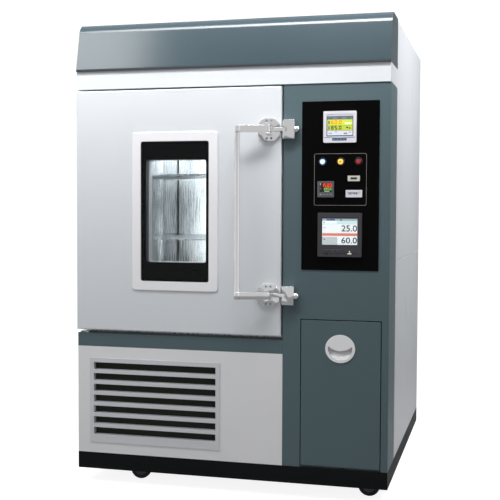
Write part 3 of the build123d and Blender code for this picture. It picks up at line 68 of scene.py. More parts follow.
lamps = (
    ("key_lamp", (-0.1, -1.25, 2.55), (-0.1, -0.52, 1.68), 2.0, 0.3, 8.5, 60),
    ("left_lamp", (-1.45, -2.0, 2.6), (-0.4, -0.5, 1.5), 0.9, 0.6, 15, 180),
    ("right_lamp", (1.7, -0.2, 2.6), (0.55, 0.1, 1.6), 1.2, 0.8, 13, 80),
    ("back_lamp", (-1.6, 2.2, 2.9), (0.0, 0.5, 0.9), 1.6, 1.2, 16, 180),
)
for name, place, target, width, height, power, spread in lamps:
    light = bpy.data.lights.new(name, "AREA")
    light.shape = "RECTANGLE"
    light.size = width
    light.size_y = height
    light.energy = power
    light.spread = math.radians(spread)
    aim(make_object(name, light), place, target)

world = bpy.data.worlds.new("studio")
bpy.context.scene.world = world
world.use_nodes = True
sky = world.node_tree


def sky_node(kind, values, *sources):
    """Adds a node to the world, with plain values and with the sockets that feed its first inputs."""
    node = sky.nodes.new("ShaderNode" + kind)
    for key, value in values.items():
        if key in node.inputs:
            node.inputs[key].default_value = value
        else:
            setattr(node, key, value)
    for number, source in enumerate(sources):
        sky.links.new(source, node.inputs[number])
    return node


paths = sky_node("LightPath", {})
directions = sky_node("SeparateXYZ", {}, sky_node("TexCoord", {}).outputs["Generated"])
behind = sky_node("MapRange", {"From Min": -0.75, "From Max": 0.1, "To Min": 0.58}, directions.outputs["Y"])
above = sky_node("MapRange", {"From Min": 0.55, "From Max": 0.9, "To Min": 0.25}, directions.outputs["Z"])
mirrored = sky_node("Math", {"operation": "MAXIMUM"}, behind.outputs[0], above.outputs[0])
glossy_ray, clear_ray = paths.outputs["Is Glossy Ray"], paths.outputs["Is Transmission Ray"]
bounced = sky_node("Math", {"operation": "MAXIMUM"}, glossy_ray, clear_ray)
soft_level = sky_node("Value", {})
soft_level.outputs[0].default_value = 0.50
glossy = sky_node("Mix", {}, bounced.outputs[0])
sky.links.new(soft_level.outputs[0], glossy.inputs[2])
sky.links.new(mirrored.outputs[0], glossy.inputs[3])
level = sky_node("Math", {"operation": "MAXIMUM"}, paths.outputs["Is Camera Ray"], glossy.outputs[0])
sky.links.new(level.outputs[0], sky.nodes["Background"].inputs["Strength"])
sky.nodes["Background"].inputs["Color"].default_value = (1, 1, 1, 1)

sweep = bmesh.new()
sweep_depth = (-7.0, 2.4)
sweep_bend = 1.2
side = 7.0
line = [(sweep_depth[0], 0.0), (sweep_depth[1], 0.0)]
for step in range(1, 13):
    angle = math.pi / 2 * step / 12
    line.append((sweep_depth[1] + sweep_bend * math.sin(angle), sweep_bend * (1 - math.cos(angle))))
line.append((sweep_depth[1] + sweep_bend, 6.0))
rows = [[sweep.verts.new((x, y, z)) for y, z in line] for x in (-side, side)]
for left, right, far_right, far_left in zip(rows[0], rows[1], rows[1][1:], rows[0][1:]):
    sweep.faces.new((left, right, far_right, far_left))
sweep_mesh = bpy.data.meshes.new("studio_sweep")
sweep.to_mesh(sweep_mesh)
sweep_mesh.polygons.foreach_set("use_smooth", [True] * len(sweep_mesh.polygons))
floor = make_object("studio_sweep", sweep_mesh)
paper = bpy.data.materials.new("pale_paper")
paper.use_nodes = True
paper_tree = paper.node_tree
paper_shader = paper_tree.nodes["Principled BSDF"]
paper_shader.inputs["Base Color"].default_value = (0.42, 0.42, 0.425, 1)
paper_shader.inputs["Roughness"].default_value = 0.6
paper_shader.inputs["Emission Color"].default_value = (1, 1, 1, 1)
paper_paths = paper_tree.nodes.new("ShaderNodeLightPath")
glow = paper_tree.nodes.new("ShaderNodeMath")
glow.operation = "MULTIPLY"
glow.inputs[1].default_value = 0.88
paper_tree.links.new(paper_paths.outputs["Is Camera Ray"], glow.inputs[0])
paper_tree.links.new(glow.outputs[0], paper_shader.inputs["Emission Strength"])
floor.data.materials.append(paper)


# Base frame, deck and skirt: square steel tubes welded into a ring under a steel deck, primed grey,
# behind a folded black skirt. Everything else is bolted to it.
def surface(name, colours, grain, gloss, relief, edge=1.0, stretch=(1, 1, 1), wear_and_highlight=0.0, **sockets):
    """A finish of two close colours in a fine grain, with gloss and relief that follow the grain."""
    material = bpy.data.materials.new(name)
    material.use_nodes = True
    tree = material.node_tree
    shader = tree.nodes["Principled BSDF"]

    def add(kind, **values):
        node = tree.nodes.new("ShaderNode" + kind)
        for key, value in values.items():
            if key in node.inputs:
                node.inputs[key].default_value = value
            else:
                setattr(node, key, value)
        return node

    where = add("TexCoord")
    spread = add("Mapping", Scale=stretch)
    fine = add("TexNoise", Scale=grain, Detail=5.0, Roughness=0.6)
    broad = add("TexNoise", Scale=2.6, Detail=3.0)
    tree.links.new(where.outputs["Object"], spread.inputs["Vector"])
    tree.links.new(spread.outputs["Vector"], fine.inputs["Vector"])
    tree.links.new(where.outputs["Object"], broad.inputs["Vector"])
    both = add("Mix", Factor=0.35)
    tree.links.new(fine.outputs[0], both.inputs[2])
    tree.links.new(broad.outputs[0], both.inputs[3])
    range_in = add("MapRange")
    range_in.inputs["From Min"].default_value = 0.32
    range_in.inputs["From Max"].default_value = 0.68
    tree.links.new(both.outputs[0], range_in.inputs["Value"])
    tint = add("Mix", data_type="RGBA")
    tint.inputs[6].default_value = (*colours[0], 1)
    tint.inputs[7].default_value = (*colours[1], 1)
    tree.links.new(range_in.outputs[0], tint.inputs[0])
    polish = add("MapRange")
    polish.inputs["To Min"].default_value = gloss[0]
    polish.inputs["To Max"].default_value = gloss[1]
    tree.links.new(range_in.outputs[0], polish.inputs["Value"])
    tree.links.new(polish.outputs[0], shader.inputs["Roughness"])
    rounding = add("Bevel", samples=4)
    rounding.inputs["Radius"].default_value = edge / 1000
    bump = add("Bump", Strength=relief)
    bump.inputs["Distance"].default_value = 0.0004
    tree.links.new(fine.outputs[0], bump.inputs["Height"])
    tree.links.new(rounding.outputs[0], bump.inputs["Normal"])
    tree.links.new(bump.outputs[0], shader.inputs["Normal"])
    colour = tint.outputs[2]
    # Along the bevelled edges the colour is lifted towards a paler copy of the second colour: partly edge
    # wear, partly a painted edge highlight.
    if wear_and_highlight:
        true_face = add("NewGeometry")
        edges = add("VectorMath", operation="DOT_PRODUCT")
        tree.links.new(rounding.outputs[0], edges.inputs[0])
        tree.links.new(true_face.outputs["True Normal"], edges.inputs[1])
        mask = add("MapRange")
        mask.inputs["From Min"].default_value = 0.98
        mask.inputs["From Max"].default_value = 0.80
        mask.inputs["To Max"].default_value = wear_and_highlight
        tree.links.new(edges.outputs["Value"], mask.inputs["Value"])
        rubbed_and_lit_edge = add("Mix", data_type="RGBA")
        rubbed_and_lit_edge.inputs[7].default_value = (*[min(1.0, c * 1.5 + 0.05) for c in colours[1]], 1)
        tree.links.new(mask.outputs[0], rubbed_and_lit_edge.inputs[0])
        tree.links.new(colour, rubbed_and_lit_edge.inputs[6])
        colour = rubbed_and_lit_edge.outputs[2]
    tree.links.new(colour, shader.inputs["Base Color"])
    for key, value in sockets.items():
        shader.inputs[key.replace("_", " ")].default_value = value
    return material


def dress(material, *nodes):
    """Gives the carried-over solids a finish."""
    for node in nodes:
        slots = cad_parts[node].data.materials
        slots.clear()
        slots.append(material)


primer = surface("grey_primer", ((0.22, 0.23, 0.24), (0.26, 0.27, 0.28)), 260, (0.4, 0.55), 0.2, wear_and_highlight=0.3)
skirt_black = surface(
    "black_powder_coat", ((0.003, 0.0045, 0.005), (0.006, 0.0075, 0.008)), 900, (0.35, 0.5), 0.35,
    Specular_IOR_Level=0.12,
)
dress(primer, "base_frame")
dress(skirt_black, "base_skirt")


# Casters: twin-cheek swivel forks pressed from zinc-plated sheet, with a moulded hub and a black
# solid tyre on a shouldered axle. The nuts are domed.
def at(across, deep, high):
    """A place in metres, from millimetres across from the left side, behind the column's face, and up."""
    return Vector((across - 548.5, deep - 516.5, high)) / 1000


def finish(piece, material, body, smooth=True):
    """Gives a new piece its finish and the body that it moves with."""
    piece.data.materials.append(material)
    if smooth and piece.type == "MESH":
        piece.data.polygons.foreach_set("use_smooth", [True] * len(piece.data.polygons))
    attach(piece, body)
    return piece


def mesh_piece(name, mesh_work, limit=None):
    """Ends a mesh made in code and gives it its object."""
    bmesh.ops.recalc_face_normals(mesh_work, faces=mesh_work.faces)
    mesh = bpy.data.meshes.new(name)
    mesh_work.to_mesh(mesh)
    mesh_work.free()
    piece = make_object(name, mesh)
    if limit is not None:
        ease = piece.modifiers.new("eased edges", "BEVEL")
        ease.width = limit / 1000
        ease.segments = 3
        ease.limit_method = "ANGLE"
        ease.angle_limit = math.radians(35)
        ease.harden_normals = True
    return piece


def turn_profile(work, profile, middle, axis, steps=48, closed=True):
    """Turns a profile of (along, radius) millimetres about an axis through the middle."""
    along = Vector(axis).normalized()
    out = along.orthogonal().normalized()
    rings = []
    for step in range(steps):
        spoke = Matrix.Rotation(2 * math.pi * step / steps, 3, along) @ out
        rings.append([work.verts.new(middle + along * a / 1000 + spoke * r / 1000) for a, r in profile])
    count = len(profile)
    for number, ring in enumerate(rings):
        after = rings[(number + 1) % steps]
        for spot in range(count if closed else count - 1):
            far = (spot + 1) % count
            work.faces.new((ring[spot], after[spot], after[far], ring[far]))
    if not closed:
        for spot in (0, count - 1):
            work.faces.new([ring[spot] for ring in rings])


def turned_piece(name, profile, middle, axis, steps=48, closed=True):
    work = bmesh.new()
    turn_profile(work, profile, middle, axis, steps, closed)
    return mesh_piece(name, work)


tyre_rubber = surface("black_tyre", ((0.012, 0.012, 0.013), (0.022, 0.022, 0.024)), 500, (0.5, 0.7), 0.5)
hub_plastic = surface("grey_hub", ((0.10, 0.105, 0.11), (0.13, 0.135, 0.14)), 400, (0.35, 0.5), 0.15)
zinc = surface("bright_zinc", ((0.50, 0.51, 0.53), (0.62, 0.63, 0.64)), 120, (0.25, 0.42), 0.15, Metallic=1.0)
tyre_profile = [
    (-9.5, 24.2), (-12.0, 26.0), (-12.9, 29.0), (-12.4, 33.0), (-10.2, 35.8), (-6.5, 37.1), (0.0, 37.45),
    (6.5, 37.1), (10.2, 35.8), (12.4, 33.0), (12.9, 29.0), (12.0, 26.0), (9.5, 24.2),
]
hub_profile = [
    (-12.6, 4.1), (-12.6, 9.0), (-10.6, 10.5), (-7.0, 12.5),
    (-6.0, 15.0), (-6.8, 19.0), (-10.6, 21.5), (-10.8, 24.0),
    (10.8, 24.0), (10.6, 21.5), (6.8, 19.0), (6.0, 15.0), (7.0, 12.5), (10.6, 10.5), (12.6, 9.0), (12.6, 4.1),
]
nut_profile = [(17.2, 0.0), (17.2, 7.0), (19.5, 7.0), (21.6, 5.6), (22.8, 3.0), (23.2, 0.01)]
wheels = (
    ("front_left", 203.0, 95.0, (0, 1, 0)),
    ("front_right", 1028.0, 95.0, (0, 1, 0)),
    ("rear_left", 100.0, 1047.0, (1, 0, 0)),
    ("rear_right", 1000.0, 1047.0, (1, 0, 0)),
)
wheel_height = 37.5
for corner, across, deep, axle in wheels:
    middle = at(across, deep, wheel_height)
    tyre = turned_piece(corner + "_tyre", tyre_profile, middle, axle, 64)
    finish(tyre, tyre_rubber, corner + "_roller")
    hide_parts(corner + "_wheel")
    hub = turned_piece(corner + "_hub", hub_profile, middle, axle, 48)
    finish(hub, hub_plastic, corner + "_roller")
    nuts = bmesh.new()
    for facing in (1, -1):
        turn_profile(nuts, nut_profile, middle, Vector(axle) * facing, 12, closed=False)
    finish(mesh_piece(corner + "_axle_nuts", nuts), zinc, corner + "_caster")
    dress(zinc, corner + "_fork")


# Machine bay: the compressor, the finned condenser with its fan, the steam pan and the copper lines
# stand on the deck behind the grille. They are bought parts in their usual finishes.
compressor_black = surface(
    "compressor_enamel", ((0.010, 0.010, 0.011), (0.020, 0.020, 0.022)), 300, (0.25, 0.4), 0.2,
)
fin_metal = surface(
    "mill_aluminium", ((0.55, 0.56, 0.57), (0.68, 0.69, 0.70)), 160, (0.3, 0.5), 0.2, Metallic=1.0,
)
copper = surface("drawn_copper", ((0.55, 0.24, 0.13), (0.70, 0.33, 0.19)), 90, (0.2, 0.4), 0.1, Metallic=1.0)
motor_grey = surface("motor_enamel", ((0.30, 0.32, 0.34), (0.36, 0.38, 0.40)), 300, (0.35, 0.5), 0.15)
tank_white = surface("milky_tank", ((0.72, 0.75, 0.78), (0.80, 0.82, 0.84)), 60, (0.3, 0.45), 0.1)
dress(compressor_black, "compressor", "condenser_fan")
dress(fin_metal, "condenser", "evaporator", "circulation_fan")
dress(copper, "refrigerant_pipes")
dress(motor_grey, "circulation_motor", "electrical_box")
dress(tank_white, "water_tank")


# Test space: a welded tub of brushed stainless sheet in a block of foam, with slotted shelf rails,
# perforated trays, the air baffle and the cable port. A guarded strip lamp stands at the left wall.
brushed = surface(
    "brushed_stainless", ((0.50, 0.52, 0.54), (0.78, 0.79, 0.80)), 9, (0.20, 0.36), 0.05,
    stretch=(26, 26, 1), Metallic=1.0, Anisotropic=0.3,
)
foam = surface("foam_skin", ((0.62, 0.54, 0.34), (0.72, 0.65, 0.44)), 220, (0.7, 0.9), 0.6)
grey_rubber = surface("grey_rubber", ((0.20, 0.21, 0.22), (0.26, 0.27, 0.28)), 400, (0.5, 0.7), 0.3)
dress(brushed, "inner_liner", "shelf_rails", "shelves", "air_baffle", "heater", "humidifier", "port_sleeve")
dress(foam, "insulation")
dress(grey_rubber, "port_cap")

lamp_glow = surface(
    "lit_tube", ((0.95, 0.97, 1.0), (0.98, 0.99, 1.0)), 80, (0.3, 0.4), 0.05,
    Emission_Color=(0.93, 0.97, 1.0, 1), Emission_Strength=4.0,
)
lamp_across, lamp_deep, lamp_foot = 84.0, 96.5, 705.0
tube_profile = [(0.0, 0.01), (0.0, 6.8), (3.0, 7.6), (517.0, 7.6), (520.0, 6.8), (520.0, 0.01)]
lamp_end = at(lamp_across, lamp_deep, lamp_foot)
tube = turned_piece("lamp_tube", tube_profile, lamp_end, (0, 0, 1), 24, closed=False)
finish(tube, lamp_glow, "cabinet")
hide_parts("interior_lamp")


def box_faces(work, low, high):
    """Adds a closed box between two corners."""
    corners = [
        work.verts.new((x, y, z))
        for x in (low[0], high[0]) for y in (low[1], high[1]) for z in (low[2], high[2])
    ]
    for loop in ((0, 1, 3, 2), (4, 6, 7, 5), (0, 4, 5, 1), (2, 3, 7, 6), (0, 2, 6, 4), (1, 5, 7, 3)):
        work.faces.new([corners[number] for number in loop])


holders = bmesh.new()
for foot in (685.0, 1225.0):
    box_faces(holders, at(70.2, 86.0, foot), at(92.0, 107.0, foot + 20.0))
finish(mesh_piece("lamp_holders", holders, 2.0), tank_white, "cabinet", smooth=False)
inside_light = bpy.data.lights.new("test_space_light", "AREA")
inside_light.shape = "RECTANGLE"
inside_light.size = 0.30
inside_light.size_y = 0.55
inside_light.energy = 4
aim(make_object("test_space_light", inside_light), at(330, 300, 1290), at(330, 470, 700))
side_light = bpy.data.lights.new("lamp_spill", "AREA")
side_light.shape = "RECTANGLE"
side_light.size = 0.05
side_light.size_y = 0.50
side_light.energy = 2.2
aim(make_object("lamp_spill", side_light), at(110, 120, 960), at(600, 800, 960))


# Outer casing: folded sheet panels in satin silver-white enamel, with a band above the door and a
# hollow slate-blue cap that leans back. The panels hook over the frame.
enamel = surface(
    "silver_white_enamel", ((0.66, 0.69, 0.72), (0.69, 0.715, 0.745)), 420, (0.26, 0.34), 0.05,
    edge=1.5, wear_and_highlight=0.25, Coat_Weight=0.2, Coat_Roughness=0.2, Specular_IOR_Level=0.3,
)
# The slate's edges are lifted most, a painted highlight along the top edge of the sill.
slate = surface(
    "slate_enamel", ((0.084, 0.126, 0.142), (0.094, 0.138, 0.154)), 420, (0.30, 0.38), 0.06,
    edge=2.0, wear_and_highlight=0.5, Specular_IOR_Level=0.25,
)
cap_slate = surface(
    "cap_enamel", ((0.030, 0.053, 0.067), (0.037, 0.062, 0.076)), 420, (0.17, 0.23), 0.05, edge=2.0, wear_and_highlight=0.2,
)
dress(enamel, "left_side_panel", "right_side_panel", "rear_panel", "top_panel", "header_band")
dress(cap_slate, "top_cap")
# The strip along the cap's lower edge is darker than the cap: painted shade, where the edge sits in shadow
# over the inset band.
hem_shade_dark = surface(
    "cap_hem_shade", ((0.014, 0.018, 0.024), (0.022, 0.027, 0.034)), 500, (0.45, 0.6), 0.15, Specular_IOR_Level=0.2,
)
hem_height = 7.0
hem_lean = 38.0 / 171.0
hem = bmesh.new()
hem_foot = 1452.2
hem_head = hem_foot + hem_height
hem_shift = hem_height * hem_lean
hem_back, hem_front = -11.0, -12.2
hem_outline = [
    (hem_back, hem_foot), (hem_front, hem_foot),
    (hem_front + hem_shift, hem_head), (hem_back + hem_shift, hem_head),
]
ends = [[hem.verts.new(at(across, deep, high)) for deep, high in hem_outline] for across in (0.4, 1099.6)]
for number in range(4):
    far = (number + 1) % 4
    hem.faces.new((ends[0][number], ends[0][far], ends[1][far], ends[1][number]))
for loop in ends:
    hem.faces.new(loop)
finish(mesh_piece("cap_hem_shade", hem), hem_shade_dark, "cabinet", smooth=False)


# Column: one folded slate sheet with the door opening for the water tank cut in it. The sill under
# the main door belongs to it. The small door tips forward on two pins and has a moulded oval pull.
dress(slate, "front_fascia", "service_door")
trim_white = surface(
    "moulded_white", ((0.82, 0.82, 0.85), (0.86, 0.86, 0.88)), 500, (0.22, 0.30), 0.05, edge=1.5,
)
dress(trim_white, "service_pull", "window_frame")


# Lower front panel and louvre grille: a silver-white sheet with a riveted grille of slanting blades,
# and a dark olive-black sheet behind the blades, painted shade for the dark inside of the grille.
silver = surface(
    "silver_sheet", ((0.74, 0.745, 0.76), (0.80, 0.80, 0.815)), 420, (0.28, 0.40), 0.06, edge=1.0,
)
# The blades get a greyer copy of the sheet's colour, painted shade on their upturned faces, which would
# otherwise catch the key lamp.
blade_shaded_grey = surface(
    "blade_shaded_grey", ((0.60, 0.61, 0.64), (0.66, 0.67, 0.70)), 420, (0.30, 0.42), 0.06, edge=0.8, wear_and_highlight=0.2,
)
dress(silver, "lower_front_panel")
dress(blade_shaded_grey, "louvre_grille")
# The dark olive-black sheet behind the blades is painted shade for the dark inside of the grille.
grille_shade_black = surface("grille_shade_black", ((0.010, 0.012, 0.010), (0.035, 0.038, 0.030)), 700, (0.8, 1.0), 1.0)
grille_shade_work = bmesh.new()
box_faces(grille_shade_work, at(58.0, 20.0, 157.0), at(513.0, 30.0, 434.0))
finish(mesh_piece("grille_shade_sheet", grille_shade_work, 2.0), grille_shade_black, "cabinet", smooth=False)


# Control panel: a black gloss plate on the column with a printed outline, a touch controller, three
# lit push buttons, a serial port, a limit controller, an hour meter and a square recorder.
gloss_black = surface(
    "gloss_black", ((0.0018, 0.0016, 0.0016), (0.0026, 0.0022, 0.0022)), 300, (0.10, 0.16), 0.02, edge=0.6,
    Specular_IOR_Level=0.04,
)
case_white = surface("instrument_white", ((0.72, 0.71, 0.78), (0.78, 0.77, 0.83)), 600, (0.32, 0.42), 0.08)
case_dark = surface(
    "instrument_dark", ((0.034, 0.032, 0.040), (0.046, 0.043, 0.053)), 600, (0.35, 0.45), 0.12,
)
case_grey = surface("instrument_grey", ((0.075, 0.085, 0.10), (0.10, 0.11, 0.125)), 600, (0.35, 0.45), 0.12)
dress(gloss_black, "control_panel")
dress(case_white, "controller", "hour_meter")
dress(case_dark, "recorder")
dress(case_grey, "limit_controller")
dress(grey_rubber, "limit_key_mat")
port_cream = surface("port_cream", ((0.60, 0.60, 0.55), (0.68, 0.68, 0.62)), 400, (0.35, 0.45), 0.1)
dress(port_cream, "serial_port")


def rounded_loop(left, right, foot, head, radius, steps=8):
    """The corners of a rounded rectangle as (across, high), anticlockwise."""
    points = []
    inner_left, inner_right = left + radius, right - radius
    inner_foot, inner_head = foot + radius, head - radius
    corners = (
        (inner_right, inner_head, 0), (inner_left, inner_head, 90),
        (inner_left, inner_foot, 180), (inner_right, inner_foot, 270),
    )
    for middle_x, middle_z, start in corners:
        for step in range(steps + 1):
            angle = math.radians(start + 90 * step / steps)
            points.append((middle_x + radius * math.cos(angle), middle_z + radius * math.sin(angle)))
    return points


def slab(work, loop, deep):
    """Adds a closed plate with that outline between two depths."""
    sides = [[work.verts.new(at(x, y, z)) for x, z in loop] for y in deep]
    work.faces.new(sides[0])
    work.faces.new(list(reversed(sides[1])))
    join_loops(work, sides[0], sides[1])


def join_loops(work, one, other):
    count = len(one)
    for number in range(count):
        far = (number + 1) % count
        work.faces.new((one[number], one[far], other[far], other[number]))


def frame_faces(work, outer, inner, deep):
    """Adds a closed ring between two outlines of the same number of corners."""
    outside = [[work.verts.new(at(x, y, z)) for x, z in outer] for y in deep]
    inside = [[work.verts.new(at(x, y, z)) for x, z in inner] for y in deep]
    join_loops(work, outside[0], outside[1])
    join_loops(work, inside[1], inside[0])
    join_loops(work, inside[0], outside[0])
    join_loops(work, outside[1], inside[1])


outline_ink = surface("outline_ink", ((0.20, 0.19, 0.18), (0.27, 0.26, 0.25)), 500, (0.4, 0.5), 0.05)
rule = bmesh.new()
rule_deep = (-3.25, -2.9)
rule_outer = rounded_loop(849, 1023, 987, 1158, 6)
rule_inner = rounded_loop(850.3, 1021.7, 988.3, 1156.7, 4.7)
frame_faces(rule, rule_outer, rule_inner, rule_deep)
finish(mesh_piece("panel_outline", rule), outline_ink, "cabinet", smooth=False)


def glowing(name, colour, strength):
    """A lit display colour: the same colour shown and given off, with a faint dot grain."""
    dim = [channel * 0.93 for channel in colour]
    shine = {"Emission_Color": (*colour, 1), "Emission_Strength": strength}
    return surface(name, (dim, colour), 900, (0.25, 0.35), 0.02, **shine)


def lit_patch(name, left, right, foot, head, front, material, radius=0.6):
    """A thin printed or lit field on a display."""
    work = bmesh.new()
    slab(work, rounded_loop(left, right, foot, head, radius, 3), (front, front + 0.25))
    return finish(mesh_piece(name, work), material, "cabinet", smooth=False)


segments = {
    "0": "abcdef", "1": "bc", "2": "abged", "3": "abgcd", "4": "fgbc",
    "5": "afgcd", "6": "afgedc", "7": "abc", "8": "abcdefg", "9": "abcdfg",
}


def figures(name, text, left, foot, wide, tall, front, material, thick=0.16):
    """Seven-bar figures: each bar is a small closed plate, and a point is a square dot."""
    work = bmesh.new()
    bar = tall * thick
    at_x = left
    for sign in text:
        if sign == ".":
            dot = rounded_loop(at_x - bar * 0.3, at_x + bar * 0.7, foot, foot + bar, bar * 0.2, 2)
            slab(work, dot, (front, front + 0.25))
            at_x += bar * 1.3
            continue
        half = tall / 2
        places = {
            "a": (at_x + bar * 0.6, at_x + wide - bar * 0.6, foot + tall - bar, foot + tall),
            "g": (at_x + bar * 0.6, at_x + wide - bar * 0.6, foot + half - bar / 2, foot + half + bar / 2),
            "d": (at_x + bar * 0.6, at_x + wide - bar * 0.6, foot, foot + bar),
            "f": (at_x, at_x + bar, foot + half + bar * 0.1, foot + tall - bar * 0.4),
            "b": (at_x + wide - bar, at_x + wide, foot + half + bar * 0.1, foot + tall - bar * 0.4),
            "e": (at_x, at_x + bar, foot + bar * 0.4, foot + half - bar * 0.1),
            "c": (at_x + wide - bar, at_x + wide, foot + bar * 0.4, foot + half - bar * 0.1),
        }
        for key in segments[sign]:
            x0, x1, z0, z1 = places[key]
            slab(work, rounded_loop(x0, x1, z0, z1, min(x1 - x0, z1 - z0) * 0.3, 2), (front, front + 0.25))
        at_x += wide + bar * 1.2
    return finish(mesh_piece(name, work), material, "cabinet", smooth=False)


lcd_grey = glowing("lcd_frame_grey", (0.06, 0.08, 0.12), 0.2)
lcd_lime = glowing("lcd_lime", (0.50, 0.62, 0.04), 0.45)
lcd_yellow = glowing("lcd_yellow", (0.42, 0.50, 0.05), 0.45)
lcd_pale = glowing("lcd_pale", (0.55, 0.58, 0.68), 0.45)
lcd_header = glowing("lcd_header", (0.16, 0.20, 0.27), 0.4)
ink_black = surface("display_ink", ((0.01, 0.012, 0.012), (0.02, 0.022, 0.02)), 500, (0.4, 0.5), 0.05)
ink_orange = glowing("display_orange", (0.80, 0.16, 0.02), 0.7)
ink_grey = glowing("display_grey", (0.16, 0.18, 0.22), 0.2)
ink_teal = glowing("display_teal", (0.10, 0.35, 0.38), 0.5)
ink_brown = glowing("display_brown", (0.34, 0.20, 0.12), 0.3)
chip_white = glowing("display_chip", (0.72, 0.76, 0.60), 0.5)
glass_front = -10.3
field_front = -10.55
mark_front = -10.8
case_front = -12.25
lit_patch("controller_glass", 890.4, 978.6, 1213.4, 1285.6, glass_front, lcd_grey)
lit_patch("controller_brow", 890.4, 978.6, 1279.4, 1285.6, field_front, case_white)
lit_patch("controller_header", 893.0, 976.5, 1270.0, 1276.0, field_front, lcd_header)
lit_patch("controller_first_field", 893.0, 976.5, 1249.9, 1268.6, field_front, lcd_lime)
lit_patch(
    "controller_second_field", 893.0, 976.5, 1232.2, 1249.3, field_front, lcd_yellow,
)
lit_patch("controller_footer", 893.0, 976.5, 1217.0, 1231.6, field_front, lcd_pale)
controller_marks = (
    ("header_dash_left", 896.0, 912.0, 1272.0, 1274.0, ink_black),
    ("header_dash_middle", 925.0, 941.0, 1272.0, 1274.0, ink_black),
    ("header_dash_right", 957.0, 971.0, 1272.0, 1274.0, ink_black),
    ("first_field_chip", 951.0, 972.4, 1252.8, 1258.6, chip_white),
    ("second_field_mark", 955.5, 962.0, 1240.0, 1244.5, ink_black),
    ("second_field_mark_right", 965.0, 969.5, 1238.0, 1242.0, ink_black),
    ("first_field_label", 896.0, 901.5, 1253.5, 1265.0, ink_grey),
    ("second_field_label", 896.0, 901.5, 1236.0, 1246.5, ink_grey),
    ("footer_brown_mark", 947.5, 959.0, 1220.6, 1225.4, ink_brown),
    ("footer_dash_left", 897.0, 909.0, 1222.5, 1224.5, ink_grey),
    ("footer_dash_right", 964.0, 972.0, 1226.0, 1228.0, ink_grey),
)
for name, left, right, foot, head, ink in controller_marks:
    lit_patch(name, left, right, foot, head, mark_front, ink)
controller_figures = (
    ("controller_first_figures", "60.0", 1253.2, 13.0, ink_orange),
    ("controller_second_figures", "85.0", 1235.4, 12.4, ink_black),
)
for name, digits, foot, tall, ink in controller_figures:
    figures(name, digits, 905.7, foot, 8.4, tall, mark_front, ink, 0.2)
figures(
    "controller_small_figures", "125", 916.5, 1226.6, 2.6, 4.4, mark_front, ink_grey, 0.2,
)
flap_line = [(884.0, 1209.4), (912.0, 1207.8), (934.5, 1207.2), (957.0, 1207.8), (985.0, 1209.4)]
flap = bmesh.new()
slab(flap, flap_line + [(x, z + 1.8) for x, z in reversed(flap_line)], (case_front, case_front + 0.2))
slab(flap, rounded_loop(909.0, 958.0, 1199.6, 1207.6, 3.5, 4), (case_front - 0.05, case_front + 0.2))
finish(mesh_piece("controller_flap_line", flap), lcd_grey, "cabinet", smooth=False)
lamp_front = case_front - 0.3
for number in range(4):
    left = 914.0 + 11.0 * number
    lamp_name = "controller_lamp_%d" % (number + 1)
    lit_patch(lamp_name, left, left + 4.0, 1202.2, 1205.4, lamp_front, ink_teal)

screen_white = glowing("recorder_screen", (0.70, 0.76, 0.78), 0.55)
screen_cyan = glowing("recorder_row", (0.52, 0.66, 0.70), 0.5)
screen_bright = glowing("recorder_bright_row", (0.74, 0.82, 0.84), 0.6)
screen_head = glowing("recorder_header", (0.30, 0.40, 0.40), 0.4)
screen_blue = glowing("recorder_tab", (0.05, 0.10, 0.26), 0.4)
screen_shade = glowing("recorder_shade", (0.48, 0.52, 0.54), 0.4)
bar_red = glowing("recorder_bar", (0.66, 0.20, 0.15), 0.4)
figure_grey = surface("recorder_figures", ((0.035, 0.04, 0.045), (0.05, 0.055, 0.06)), 500, (0.4, 0.5), 0.05)
page_front = -13.55
row_front = -13.8
tab_front = -14.05
face_front = -15.25
recorder_marks = (
    ("recorder_page", 879.0, 995.5, 858.0, 943.5, page_front, screen_white),
    ("recorder_header", 879.0, 995.5, 937.0, 943.3, row_front, screen_head),
    ("recorder_tab", 892.9, 921.7, 937.6, 942.8, tab_front, screen_blue),
    ("recorder_header_mark", 939.5, 945.0, 938.2, 942.2, tab_front, ink_black),
    ("recorder_row", 879.0, 995.5, 926.0, 936.6, row_front, screen_cyan),
    ("recorder_bright_row", 879.0, 926.8, 927.0, 935.6, tab_front, screen_bright),
    ("recorder_row_mark", 883.0, 887.0, 929.0, 933.6, tab_front - 0.25, ink_grey),
    ("recorder_row_mark_low", 884.0, 890.0, 913.0, 915.0, row_front, ink_grey),
    ("recorder_middle_bar", 880.0, 995.0, 887.4, 896.2, row_front, bar_red),
    ("recorder_low_shade", 879.5, 930.0, 859.0, 884.0, row_front, screen_shade),
    ("recorder_low_mark", 884.0, 889.0, 874.0, 878.0, tab_front, ink_grey),
    ("recorder_strip_key", 887.8, 899.8, 823.8, 839.8, face_front, ink_black),
    ("recorder_upper_dash", 931.9, 943.1, 838.8, 841.2, face_front, ink_black),
    ("recorder_lower_dash", 931.9, 943.1, 831.0, 833.4, face_front, ink_black),
    ("recorder_icon", 963.5, 977.0, 827.4, 838.4, face_front, chip_white),
)
lit_patch("recorder_glass", 876.5, 997.5, 856.5, 946.5, -13.3, case_dark)
for name, left, right, foot, head, front, ink in recorder_marks:
    lit_patch(name, left, right, foot, head, front, ink)


